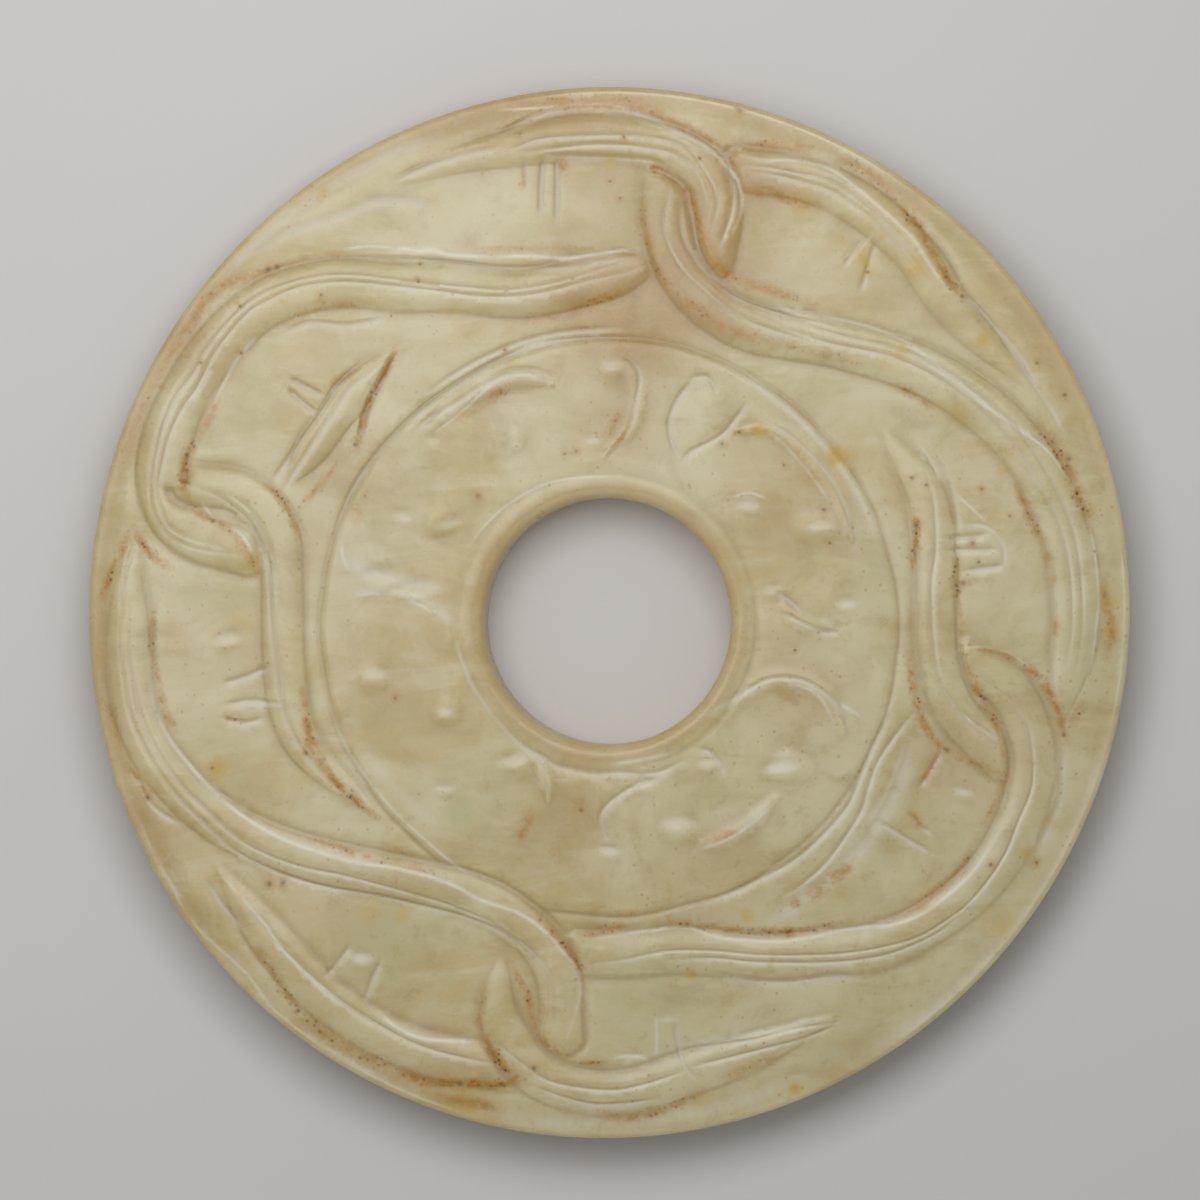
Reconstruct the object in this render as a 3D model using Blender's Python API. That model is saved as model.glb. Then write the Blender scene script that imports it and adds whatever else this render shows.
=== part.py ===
"""A jade bi disc, lying flat with its carved face up.

Metres, +Z up. The origin is on the surface that the disc lies on, below the middle of the stone.
+Y is the top of the carving and +X its right-hand side.

One stone is one solid: a flat ring, a little out of round, with rounded edges. Knotted bands that
hook into each other are carved in low relief round its outer part. A plain collar and a ring of
scrolls and bosses lie round the hole. The back is flat, with two incised circles.
"""
import math
from collections import namedtuple

import bmesh
import bpy
import numpy as np
from mathutils import Vector, geometry

MM = 0.001

# Driving sizes of the stone
DISC_DIAMETER = 55.0 * MM
DISC_THICKNESS = 5.0 * MM
HOLE_DIAMETER = 13.0 * MM
HOLE_BELOW_CENTRE = 0.47 * MM
BORE_LEAN = 0.25 * MM
MOUTH_ROUNDING = 0.6 * MM
EDGE_ROUNDING = 0.3 * MM
RIM_SLOPE_WIDTH = 1.3 * MM
RIM_SLOPE_DROP = 0.16 * MM
RIM_WIDEST_SLOPE = 2.4 * MM

# Driving sizes of the carving
BAND_WIDTH = 2.45 * MM
BAND_HEIGHT = 0.18 * MM
GROOVE_WIDTH = 0.42 * MM
GROOVE_DEPTH = 0.06 * MM
RING_DIAMETER = 30.4 * MM
RING_BELOW_CENTRE = 0.77 * MM
RING_RISE = 0.07 * MM
COLLAR_WIDTH = 1.3 * MM
COLLAR_RISE = 0.04 * MM
SCROLL_WIDTH = 1.3 * MM
SCROLL_HEIGHT = 0.08 * MM
BOSS_DIAMETER = 1.9 * MM
BOSS_HEIGHT = 0.09 * MM
CIRCLE_WIDTH = 0.6 * MM
CIRCLE_DEPTH = 0.12 * MM
CIRCLE_MARGIN = 3.2 * MM

DISC_RADIUS = DISC_DIAMETER / 2
HOLE_RADIUS = HOLE_DIAMETER / 2
RING_RADIUS = RING_DIAMETER / 2
FIELD_LEVEL = DISC_THICKNESS - BAND_HEIGHT
# A rounding takes at most this share of the height that it is on
LARGEST_ROUNDING = 0.45
EDGE_RADIUS = min(EDGE_ROUNDING, LARGEST_ROUNDING * (FIELD_LEVEL - RIM_SLOPE_DROP))
MOUTH_RADIUS = min(MOUTH_ROUNDING, LARGEST_ROUNDING * FIELD_LEVEL)

# How finely the faces follow the forms
RIM_SIDES = 132
HOLE_SIDES = 60
COLLAR_SIDES = 90
RING_SIDES = 110
CIRCLE_SIDES = 72
FILL_SPACING = DISC_DIAMETER / 34
STATION_SPACING = DISC_DIAMETER / 62
CLOSEST_POINTS = DISC_DIAMETER / 170
ROUNDING_STEPS = 3
BOSS_SIDES = 7
CURVE_STEPS = 8
FEWEST_STATIONS = 4
# Two points closer than this, in millimetres, become one
MERGE_DISTANCE = 1e-5
SHARP_ANGLE = 35

# The form across a band or a mound, in shares of its half width or its reach
BAND_TIP = 0.15
BAND_SHOULDER = 0.7
BAND_FLATNESS = 4
SCROLL_FLATNESS = 1.2
BOSS_FLATNESS = 1.3

# The ground edge is out of round: lobes, share of the radius, and the angle of the first lobe
OUT_OF_ROUND = ((2, 0.0059, 74), (3, 0.0012, 4))
# The ground slope inside the edge is widest on the side of this angle
WIDEST_SLOPE_AT = -45

# The free-hand carving is placed in thousandths of the disc's radius from its middle: a band's
# points lie along its middle. Its width is a share of the band width, and its taper is the share
# of its length over which each end draws out to a point.
Band = namedtuple("Band", "points width taper_start taper_end")

BANDS = {
    "limb": Band(((-398, 510), (-503, 401), (-611, 249)), 0.75, 0.45, 0.30),
    "top_arch": Band(((-398, 824), (-265, 870), (-93, 904), (59, 902), (168, 854), (210, 770),
                      (198, 679)), 1.0, 0.5, 0.0),
    "upper_right": Band(((253, 847), (364, 831), (478, 780), (583, 690), (665, 572), (802, 433)),
                        0.95, 0.0, 0.40),
    "right_sweep": Band(((105, 828), (107, 757), (143, 643), (250, 553), (459, 508), (630, 447),
                         (773, 336), (859, 191), (895, 24), (867, -195)), 1.05, 0.0, 0.12),
    "upper_left": Band(((69, 660), (-36, 633), (-170, 610), (-341, 622), (-531, 626), (-661, 588),
                        (-766, 485), (-840, 348), (-855, 230), (-798, 148), (-688, 115)),
                       1.05, 0.0, 0.0),
    "left_inner": Band(((-798, 245), (-703, 230), (-634, 157), (-623, 24), (-619, -129),
                        (-583, -252), (-446, -386)), 0.9, 0.0, 0.35),
    "left_outer": Band(((-905, 150), (-918, -14), (-912, -167), (-855, -290), (-726, -410),
                        (-531, -481), (-303, -529), (-173, -588), (-101, -685), (-91, -805)),
                       0.95, 0.16, 0.0),
    "lower_left": Band(((-745, -487), (-661, -605), (-541, -738), (-370, -837), (-192, -871)),
                       0.95, 0.30, 0.0),
    "bottom_hook": Band(((-204, -666), (-208, -776), (-128, -890), (21, -917), (211, -862),
                         (436, -772)), 0.95, 0.18, 0.35),
    "lower_right": Band(((-65, -652), (135, -649), (345, -658), (526, -633), (678, -548),
                         (771, -430), (810, -281), (768, -151), (672, -90)), 0.95, 0.0, 0.0),
    "right_inner": Band(((526, 344), (596, 243), (625, 100), (623, -52), (659, -182),
                         (754, -281)), 0.9, 0.25, 0.0),
}

# The bands in the order in which they lie on each other, each from one share of its length to
# another. Where two hooks lock, a stretch of the lower band comes again and lies on top.
LAYERS = (
    ("limb", 0.0, 1.0),
    ("left_outer", 0.0, 1.0),
    ("upper_right", 0.0, 1.0),
    ("lower_left", 0.0, 1.0),
    ("upper_left", 0.0, 1.0),
    ("top_arch", 0.0, 1.0),
    ("right_sweep", 0.0, 1.0),
    ("top_arch", 0.45, 0.80),
    ("left_inner", 0.0, 1.0),
    ("upper_left", 0.62, 0.84),
    ("lower_right", 0.0, 1.0),
    ("bottom_hook", 0.0, 1.0),
    ("left_outer", 0.72, 0.93),
    ("right_inner", 0.0, 1.0),
    ("lower_right", 0.66, 0.90),
)

SCROLLS = (
    Band(((-341, 348), (-303, 390), (-236, 431), (-170, 449), (-107, 439)), 1.0, 0.3, 0.3),
    Band(((17, 487), (51, 447), (48, 370), (-13, 294)), 0.9, 0.2, 0.5),
    Band(((240, 348), (307, 357), (373, 310), (427, 233), (463, 138)), 1.0, 0.3, 0.4),
    Band(((326, 24), (364, -14), (436, -33)), 0.9, 0.3, 0.5),
    Band(((173, -243), (230, -176), (297, -132), (364, -127), (421, -167), (451, -228)),
         1.0, 0.3, 0.3),
    Band(((173, -445), (259, -410), (322, -353)), 0.8, 0.3, 0.4),
    Band(((-160, -247), (-124, -304), (-116, -361)), 0.8, 0.2, 0.4),
)

# Bosses: place, and size as a share of the boss diameter
BOSSES = (
    (6, 466, 1.0), (183, 372, 1.9), (-179, 332, 0.8), (392, 167, 1.2), (345, -296, 1.2),
    (135, -410, 1.2), (-179, -290, 0.9), (-312, -190, 1.0), (-451, -123, 1.1), (-331, 186, 1.0),
)

JADE_COLOUR = (0.468, 0.392, 0.239, 1.0)
JADE_ROUGHNESS = 0.3


def clear_scene():
    for old in list(bpy.data.objects):
        bpy.data.objects.remove(old, do_unlink=True)


def smooth(t):
    """An even step from 0 to 1 that starts and ends level."""
    t = np.clip(t, 0.0, 1.0)
    return t * t * (3.0 - 2.0 * t)


def from_plan(point):
    """A place in the carving's thousandths, in metres."""
    return np.array(point[:2]) * DISC_RADIUS / 1000


def disc_edge(angle):
    """The outline's radius at an angle."""
    share = 1.0
    for lobes, amount, first in OUT_OF_ROUND:
        share = share + amount * np.cos(lobes * (angle - math.radians(first)))
    return DISC_RADIUS * share


def slope_width(angle):
    """How far the slope inside the edge reaches in, at an angle."""
    towards = np.clip(np.cos(angle - math.radians(WIDEST_SLOPE_AT)), 0.0, 1.0)
    return RIM_SLOPE_WIDTH + (RIM_WIDEST_SLOPE - RIM_SLOPE_WIDTH) * towards


def turned_points(radius, count, centre=(0.0, 0.0)):
    """Points round a circle, or round any outline whose radius is a function of the angle."""
    angles = np.arange(count) * (2 * math.pi / count)
    radii = radius(angles) if callable(radius) else np.full(count, radius)
    return np.column_stack((centre[0] + radii * np.cos(angles), centre[1] + radii * np.sin(angles)))


def smooth_path(points):
    """A curve through a band's points, read at even steps along its length."""
    knots = [from_plan(point) for point in points]
    knots = [2 * knots[0] - knots[1]] + knots + [2 * knots[-1] - knots[-2]]
    curve = []
    for before, start, end, after in zip(knots, knots[1:], knots[2:], knots[3:]):
        for step in range(CURVE_STEPS):
            t = step / CURVE_STEPS
            bend = 2 * start + (end - before) * t
            bend = bend + (2 * before - 5 * start + 4 * end - after) * t ** 2
            bend = bend + (3 * start - before - 3 * end + after) * t ** 3
            curve.append(bend / 2)
    curve.append(knots[-2])
    curve = np.array(curve)
    along = np.concatenate(([0.0], np.cumsum(np.linalg.norm(np.diff(curve, axis=0), axis=1))))
    stations = max(FEWEST_STATIONS, round(along[-1] / STATION_SPACING))
    even = np.linspace(0.0, along[-1], stations + 1)
    return np.column_stack([np.interp(even, along, curve[:, axis]) for axis in (0, 1)])


def half_width(band, share, full_width):
    """Half of a band's width at a share of its length: a tapered end draws out to a point."""
    narrowing = np.ones_like(share)
    if band.taper_start:
        narrowing = np.minimum(narrowing, np.sqrt(smooth(share / band.taper_start)))
    if band.taper_end:
        narrowing = np.minimum(narrowing, np.sqrt(smooth((1.0 - share) / band.taper_end)))
    return full_width * band.width / 2 * (BAND_TIP + (1.0 - BAND_TIP) * narrowing)


def nearest_on_path(places, path):
    """Each place's distance from a path, and the share of the path's length at its foot."""
    best = np.full(len(places), np.inf)
    share = np.zeros(len(places))
    spans = len(path) - 1
    for index in range(spans):
        start = path[index]
        step = path[index + 1] - start
        t = np.clip((places - start) @ step / (step @ step), 0.0, 1.0)
        distance = np.linalg.norm(places - start - t[:, None] * step, axis=1)
        closer = distance < best
        best[closer] = distance[closer]
        share[closer] = (index + t[closer]) / spans
    return best, share


def lay_band(level, places, name, start, end):
    """Carve one band into the levels: a rounded ridge with a groove along each side."""
    band = BANDS[name]
    distance, share = nearest_on_path(places, BAND_PATHS[name])
    half = half_width(band, share, BAND_WIDTH)
    fullness = half / (BAND_WIDTH * band.width / 2)
    bottom = FIELD_LEVEL - GROOVE_DEPTH * fullness
    across = distance / half
    crown = FIELD_LEVEL + BAND_HEIGHT * fullness
    ridge = crown - (crown - bottom) * across ** BAND_FLATNESS
    beside = bottom + (level - bottom) * smooth((distance - half) / GROOVE_WIDTH)
    carved = np.where(across < 1.0, ridge, np.minimum(level, beside))
    here = (share >= start) & (share <= end) & (distance < half + GROOVE_WIDTH)
    return np.where(here, carved, level)


def raise_scroll(level, places, band, path):
    """A low ridge with soft sides inside the ring."""
    distance, share = nearest_on_path(places, path)
    half = half_width(band, share, SCROLL_WIDTH)
    return level + SCROLL_HEIGHT * smooth(SCROLL_FLATNESS * (1.0 - distance / half))


def ring_centre():
    return np.array((0.0, -RING_BELOW_CENTRE))


def hole_centre(height):
    """The bore leans to the right as it goes down through the stone."""
    lean = BORE_LEAN * (0.5 - height / DISC_THICKNESS)
    return np.array((lean, -HOLE_BELOW_CENTRE))


BAND_PATHS = {name: smooth_path(band.points) for name, band in BANDS.items()}
SCROLL_PATHS = [smooth_path(scroll.points) for scroll in SCROLLS]


def front_level(places):
    """The height of the carved face at each place in plan."""
    level = np.full(len(places), FIELD_LEVEL)
    from_ring = np.linalg.norm(places - ring_centre(), axis=1)
    from_hole = np.linalg.norm(places - hole_centre(DISC_THICKNESS), axis=1) - HOLE_RADIUS
    level += RING_RISE * smooth((RING_RADIUS - from_ring) / GROOVE_WIDTH)
    border = np.abs(from_ring - RING_RADIUS) / GROOVE_WIDTH
    level -= GROOVE_DEPTH * smooth(1.0 - border)
    for scroll, path in zip(SCROLLS, SCROLL_PATHS):
        level = raise_scroll(level, places, scroll, path)
    for x, y, size in BOSSES:
        reach = np.linalg.norm(places - from_plan((x, y)), axis=1) / (size * BOSS_DIAMETER / 2)
        level += BOSS_HEIGHT * smooth(BOSS_FLATNESS * (1.0 - reach))
    for name, start, end in LAYERS:
        level = lay_band(level, places, name, start, end)
    collar_top = FIELD_LEVEL + RING_RISE + COLLAR_RISE
    groove = collar_top - COLLAR_RISE - GROOVE_DEPTH
    towards_groove = smooth((from_hole - COLLAR_WIDTH) / GROOVE_WIDTH + 1)
    collar = collar_top + (groove - collar_top) * towards_groove
    outside = smooth((from_hole - COLLAR_WIDTH) / GROOVE_WIDTH)
    level = np.where(from_hole < COLLAR_WIDTH, collar, groove + (level - groove) * outside)
    angles = np.arctan2(places[:, 1], places[:, 0])
    to_edge = disc_edge(angles) - EDGE_RADIUS - np.linalg.norm(places, axis=1)
    towards_edge = smooth(1.0 - to_edge / slope_width(angles))
    return level + (FIELD_LEVEL - RIM_SLOPE_DROP - level) * towards_edge


def band_points(band, path, full_width, start=0.0, end=1.0):
    """Points across a band at each station of its path: grooves, shoulders and middle."""
    shares = np.linspace(0.0, 1.0, len(path))
    halves = half_width(band, shares, full_width)
    along = np.gradient(path, axis=0)
    along /= np.linalg.norm(along, axis=1)[:, None]
    across = np.column_stack((-along[:, 1], along[:, 0]))
    here = (shares >= start) & (shares <= end)
    rows = [path[here]]
    for offset, extra in ((1.0, 0.0), (BAND_SHOULDER, 0.0), (1.0, GROOVE_WIDTH)):
        for side in (1.0, -1.0):
            row = path + across * side * (halves * offset + extra)[:, None]
            rows.append(row[here])
    for tip, outwards in ((0, -1.0), (-1, 1.0)):
        if here[tip]:
            for extra in (0.0, GROOVE_WIDTH):
                rows.append(path[tip:][:1] + along[tip] * outwards * (halves[tip] + extra))
    return np.concatenate(rows)


def covered(places, layers):
    """Which places lie under one of the layers, or in the groove beside it."""
    under = np.zeros(len(places), dtype=bool)
    for name, start, end in layers:
        distance, share = nearest_on_path(places, BAND_PATHS[name])
        reach = half_width(BANDS[name], share, BAND_WIDTH) + GROOVE_WIDTH - CLOSEST_POINTS / 8
        under |= (distance < reach) & (share >= start) & (share <= end)
    return under


def fill_points(spacing):
    """An even triangular grid over the whole disc."""
    row_step = spacing * math.sqrt(3) / 2
    rows = math.ceil(2 * DISC_RADIUS / row_step) + 1
    columns = math.ceil(2 * DISC_RADIUS / spacing) + 1
    grid = []
    for row in range(rows):
        for column in range(columns):
            x = -DISC_RADIUS + (column + 0.5 * (row % 2)) * spacing
            y = -DISC_RADIUS + row * row_step
            grid.append((x, y))
    return np.array(grid)


class Thinner:
    """Takes points in turn and drops each that lies too close to one already taken."""

    def __init__(self):
        self.cells = {}
        self.taken = []

    def is_clear(self, point, distance):
        column = math.floor(point[0] / FILL_SPACING)
        row = math.floor(point[1] / FILL_SPACING)
        for near_column in (column - 1, column, column + 1):
            for near_row in (row - 1, row, row + 1):
                for other in self.cells.get((near_column, near_row), ()):
                    if math.dist(point, other) < distance:
                        return False
        return True

    def take(self, points, distance):
        for point in points:
            point = (float(point[0]), float(point[1]))
            if self.is_clear(point, distance):
                cell = (math.floor(point[0] / FILL_SPACING), math.floor(point[1] / FILL_SPACING))
                self.cells.setdefault(cell, []).append(point)
                self.taken.append(point)


def spread_points(rim, mouth, mouth_centre, groups):
    """Plan points of one face between its rim loop and the loop round its hole."""
    thinner = Thinner()
    thinner.take(rim, 0.0)
    thinner.take(mouth, 0.0)
    inner = np.max(np.linalg.norm(mouth - mouth_centre, axis=1)) + CLOSEST_POINTS / 2
    for points, distance in groups:
        angles = np.arctan2(points[:, 1], points[:, 0])
        outer = disc_edge(angles) - EDGE_RADIUS - CLOSEST_POINTS / 2
        inside_rim = np.linalg.norm(points, axis=1) < outer
        outside_hole = np.linalg.norm(points - mouth_centre, axis=1) > inner
        thinner.take(points[inside_rim & outside_hole], distance)
    return np.array(thinner.taken)


def loop_edges(first, count):
    return [(first + index, first + (index + 1) % count) for index in range(count)]


def triangulate(places, rim_count, mouth_count):
    """Triangles between the two loops that the list of places starts with."""
    edges = loop_edges(0, rim_count) + loop_edges(rim_count, mouth_count)
    plan = [Vector((x / MM, y / MM)) for x, y in places]
    triangles = geometry.delaunay_2d_cdt(plan, edges, [], 1, MERGE_DISTANCE, False)[2]
    mouth = range(rim_count, rim_count + mouth_count)
    return [tri for tri in triangles if not all(corner in mouth for corner in tri)]


def front_groups():
    """Points of the carved face, the most important first."""
    groups = []
    for index in reversed(range(len(LAYERS))):
        name, start, end = LAYERS[index]
        points = band_points(BANDS[name], BAND_PATHS[name], BAND_WIDTH, start, end)
        groups.append((points[~covered(points, LAYERS[index + 1:])], CLOSEST_POINTS))
    hole = hole_centre(DISC_THICKNESS)
    for width in (COLLAR_WIDTH, COLLAR_WIDTH + GROOVE_WIDTH):
        groups.append((turned_points(HOLE_RADIUS + width, COLLAR_SIDES, hole), CLOSEST_POINTS))
    for step in (-GROOVE_WIDTH, 0.0, GROOVE_WIDTH):
        circle = turned_points(RING_RADIUS + step, RING_SIDES, ring_centre())
        groups.append((circle[~covered(circle, LAYERS)], CLOSEST_POINTS))
    for share in (0.5, 1.0):
        outline = turned_points(
            lambda angle: disc_edge(angle) - EDGE_RADIUS - share * slope_width(angle), RIM_SIDES)
        groups.append((outline[~covered(outline, LAYERS)], 1.5 * CLOSEST_POINTS))
    for x, y, size in BOSSES:
        centre = from_plan((x, y))
        reach = size * BOSS_DIAMETER / 2
        groups.append((np.array([centre]), CLOSEST_POINTS))
        groups.append((turned_points(0.5 * reach, BOSS_SIDES, centre), CLOSEST_POINTS))
        groups.append((turned_points(reach, BOSS_SIDES, centre), CLOSEST_POINTS))
    for scroll, path in zip(SCROLLS, SCROLL_PATHS):
        groups.append((path, CLOSEST_POINTS))
        groups.append((band_points(scroll, path, SCROLL_WIDTH), 1.3 * CLOSEST_POINTS))
    groups.append((fill_points(FILL_SPACING), 0.75 * FILL_SPACING))
    return groups


def back_circles():
    """The radius of each incised circle on the back, and its centre."""
    return ((DISC_RADIUS - EDGE_RADIUS - CIRCLE_MARGIN, (0.0, 0.0)),
            (HOLE_RADIUS + MOUTH_RADIUS + CIRCLE_MARGIN, hole_centre(0.0)))


def back_level(places):
    """The height of the flat back, which the disc rests on, and of the circles cut into it."""
    level = np.zeros(len(places))
    for radius, centre in back_circles():
        away = np.abs(np.linalg.norm(places - np.array(centre), axis=1) - radius)
        level += CIRCLE_DEPTH * np.clip(1.0 - 2 * away / CIRCLE_WIDTH, 0.0, 1.0)
    return level


def back_groups():
    groups = []
    for radius, centre in back_circles():
        for step in (-CIRCLE_WIDTH / 2, 0.0, CIRCLE_WIDTH / 2):
            groups.append((turned_points(radius + step, CIRCLE_SIDES, centre), 0.0))
    return groups


def rounding(top, radius, steps):
    """Inset and height at each step of an outer edge's quarter round, top to side."""
    turns = [math.pi / 2 * step / steps for step in range(1, steps + 1)]
    return [(radius * (1 - math.sin(turn)), top - radius * (1 - math.cos(turn))) for turn in turns]


def rim_loop(inset, height):
    outline = turned_points(lambda angle: disc_edge(angle) - inset, RIM_SIDES)
    return np.column_stack((outline, np.full(RIM_SIDES, height)))


def mouth_loop(inset, height):
    """A loop round the bore: the inset widens it, towards the rounded mouths."""
    circle = turned_points(HOLE_RADIUS + inset, HOLE_SIDES, hole_centre(height))
    return np.column_stack((circle, np.full(HOLE_SIDES, height)))


def wall_loops(make_loop, top, radius):
    """Loops from the front's last loop down to the back's first one, both left out."""
    upper = [make_loop(inset, height) for inset, height in rounding(top, radius, ROUNDING_STEPS)]
    lower = rounding(0.0, radius, ROUNDING_STEPS)
    return upper + [make_loop(inset, -height) for inset, height in reversed(lower)]


def bridge(first, second, count):
    """Two triangles between each pair of neighbours on two loops."""
    faces = []
    for index in range(count):
        after = (index + 1) % count
        faces.append((first + index, first + after, second + after))
        faces.append((first + index, second + after, second + index))
    return faces


def build_mesh():
    rim_level = FIELD_LEVEL - RIM_SLOPE_DROP
    mouth_level = FIELD_LEVEL + RING_RISE + COLLAR_RISE
    rim = rim_loop(EDGE_RADIUS, 0.0)[:, :2]
    front_mouth = mouth_loop(MOUTH_RADIUS, DISC_THICKNESS)[:, :2]
    back_mouth = mouth_loop(MOUTH_RADIUS, 0.0)[:, :2]
    front = spread_points(rim, front_mouth, hole_centre(DISC_THICKNESS), front_groups())
    back = spread_points(rim, back_mouth, hole_centre(0.0), back_groups())
    heights = front_level(front)
    heights[:RIM_SIDES] = rim_level
    heights[RIM_SIDES:RIM_SIDES + HOLE_SIDES] = mouth_level
    vertices = [np.column_stack((front, heights)), np.column_stack((back, back_level(back)))]
    faces = triangulate(front, RIM_SIDES, HOLE_SIDES)
    first_back = len(front)
    for tri in triangulate(back, RIM_SIDES, HOLE_SIDES):
        faces.append(tuple(first_back + corner for corner in reversed(tri)))
    total = first_back + len(back)
    sides = ((rim_loop, rim_level, EDGE_RADIUS, RIM_SIDES, 0),
             (mouth_loop, mouth_level, MOUTH_RADIUS, HOLE_SIDES, RIM_SIDES))
    for make_loop, top, radius, count, first_on_face in sides:
        above = first_on_face
        for loop in wall_loops(make_loop, top, radius):
            vertices.append(loop)
            faces += bridge(above, total, count)
            above = total
            total += count
        faces += bridge(above, first_back + first_on_face, count)
    return np.concatenate(vertices), faces


def jade():
    material = bpy.data.materials.new("jade")
    material.use_nodes = True
    shader = material.node_tree.nodes["Principled BSDF"]
    shader.inputs["Base Color"].default_value = JADE_COLOUR
    shader.inputs["Roughness"].default_value = JADE_ROUGHNESS
    shader.inputs["Metallic"].default_value = 0.0
    return material


def make_disc():
    vertices, faces = build_mesh()
    mesh = bpy.data.meshes.new("bi_disc")
    mesh.from_pydata([tuple(vertex) for vertex in vertices.tolist()], [], faces)
    shell = bmesh.new()
    shell.from_mesh(mesh)
    bmesh.ops.recalc_face_normals(shell, faces=shell.faces)
    shell.to_mesh(mesh)
    shell.free()
    mesh.shade_smooth()
    mesh.set_sharp_from_angle(angle=math.radians(SHARP_ANGLE))
    mesh.materials.append(jade())
    disc = bpy.data.objects.new("bi_disc", mesh)
    bpy.context.collection.objects.link(disc)
    return disc


clear_scene()
make_disc()
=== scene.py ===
"""The look of the jade bi disc: its fine carving, its stone, a plain floor, soft light and a camera.

Metres, +Z up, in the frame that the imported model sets. The carved face is up, +Y is the top of
the carving and +X its right-hand side. One fine piece stands for the stone. It has the solid's
outline, thickness, hole and bands, and adds the incised lines, the small cuts and the wear.
"""
import math
from collections import namedtuple
import bpy
import numpy as np
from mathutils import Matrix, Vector, geometry


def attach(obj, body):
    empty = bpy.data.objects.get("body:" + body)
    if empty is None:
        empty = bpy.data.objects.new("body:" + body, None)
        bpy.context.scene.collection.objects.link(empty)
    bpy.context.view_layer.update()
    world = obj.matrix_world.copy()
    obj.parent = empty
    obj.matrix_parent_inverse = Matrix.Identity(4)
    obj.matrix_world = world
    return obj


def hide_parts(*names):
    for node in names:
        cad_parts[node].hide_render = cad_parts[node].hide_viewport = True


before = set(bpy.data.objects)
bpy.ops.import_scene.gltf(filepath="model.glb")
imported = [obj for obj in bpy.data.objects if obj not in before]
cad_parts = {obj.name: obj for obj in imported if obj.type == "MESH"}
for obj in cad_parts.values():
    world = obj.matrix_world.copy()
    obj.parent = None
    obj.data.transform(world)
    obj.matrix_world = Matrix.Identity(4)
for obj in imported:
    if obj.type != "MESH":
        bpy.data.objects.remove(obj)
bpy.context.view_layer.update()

MM = 0.001

# The stone
DISC_RADIUS = 27.5 * MM
DISC_THICKNESS = 5.0 * MM
HOLE_RADIUS = 6.5 * MM
HOLE_BELOW_CENTRE = 0.47 * MM
BORE_LEAN = 0.25 * MM
MOUTH_RADIUS = 0.6 * MM
EDGE_RADIUS = 0.3 * MM
RIM_SLOPE_WIDTH = 1.3 * MM
RIM_SLOPE_DROP = 0.16 * MM
RIM_WIDEST_SLOPE = 2.4 * MM
WIDEST_SLOPE_AT = -45
OUT_OF_ROUND = ((2, 0.0059, 74), (3, 0.0012, 4))

# The carving
BAND_WIDTH = 2.45 * MM
BAND_HEIGHT = 0.18 * MM
GROOVE_WIDTH = 0.42 * MM
GROOVE_DEPTH = 0.06 * MM
RING_RADIUS = 15.2 * MM
RING_BELOW_CENTRE = 0.77 * MM
RING_RISE = 0.07 * MM
RING_GROOVE_REACH = 0.25 * MM
RING_GROOVE_DEPTH = 0.042 * MM
COLLAR_WIDTH = 1.3 * MM
COLLAR_RISE = 0.04 * MM
COLLAR_GROOVE_DEPTH = 0.03 * MM
SCROLL_WIDTH = 1.3 * MM
SCROLL_HEIGHT = 0.08 * MM
BOSS_RADIUS = 0.95 * MM
BOSS_HEIGHT = 0.09 * MM
CIRCLE_WIDTH = 0.6 * MM
CIRCLE_DEPTH = 0.12 * MM
CIRCLE_MARGIN = 3.2 * MM
FIELD_LEVEL = DISC_THICKNESS - BAND_HEIGHT

# How far the bands' crowns, and then all points, stay below the solid's top
CROWN_MARGIN = 0.02 * MM
TOP_MARGIN = 0.005 * MM

# Shares that shape the bands: a tapered tip's width, the round part of a crown against the flat
# part, and how far the weakest groove spreads
TIP_SHARE = 0.15
ROUND_SHARE = 0.6
WEAK_SPREAD = 1.7

# How steep a low form's flank is: above 1, its top is flatter
SCROLL_FLANK = 1.2
BOSS_FLANK = 1.3
FACET_FLANK = 1.4

# The unevenness of hand work: heights, lengths, how far a line strays, and fixed seeds
FIELD_DENT_DEPTH = 0.006 * MM
FIELD_DENT_LENGTH = 3.2 * MM
FIELD_DENT_SEED = 7
RING_DENT_DEPTH = 0.007 * MM
RING_DENT_LENGTH = 2.4 * MM
RING_DENT_SEED = 11
WANDER = 0.035 * MM
BOSS_WANDER = 0.175 * MM
FACET_WANDER = 0.14 * MM
WANDER_LENGTH = 5.0 * MM
WANDER_SEEDS = (3, 4)
WAVE_COUNT = 14
WAVE_SPREAD = (0.6, 1.8)

# How fine the mesh is: sides and steps, then spacings along what is drawn, a curve's fewest
# spans, and how near in millimetres two points count as one
RIM_SIDES = 420
HOLE_SIDES = 180
ROUNDING_STEPS = 6
WALL_STEPS = 5
CURVE_STEPS = 8
FILL_SPACING = 0.26 * MM
FINE_SPACING = 0.17 * MM
STROKE_SPACING = 0.14 * MM
PATH_SPACING = 0.3 * MM
BACK_SPACING = 0.7 * MM
CIRCLE_SPACING = 0.2 * MM
BACK_CIRCLE_SPACING = 0.35 * MM
FEWEST_SPANS = 3
SAME_PLACE = 1e-6

# Rows of points beside what is drawn, in strokes' half widths or in millimetres
STROKE_ROWS = (0, -1, 1, -2, 2)
BAND_ROWS = (0.0, -0.16, 0.16)
RING_ROWS = (0.0, -0.12, 0.12, -0.25, 0.25, -0.42)
COLLAR_ROWS = (-0.3, 0.0, 0.3)
BACK_ROWS = (0.0, -0.15, 0.15, -0.3, 0.3)

# How wide a stroke's rows lie, as a share of its half width, and the circles of points round a
# speck: each one's share of the speck's reach, and its count of points
CUT_ROW_SHARE = 0.5
GLEAM_ROW_SHARE = 0.6
SPECK_CIRCLES = ((0.6, 6), (1.1, 9))

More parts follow.
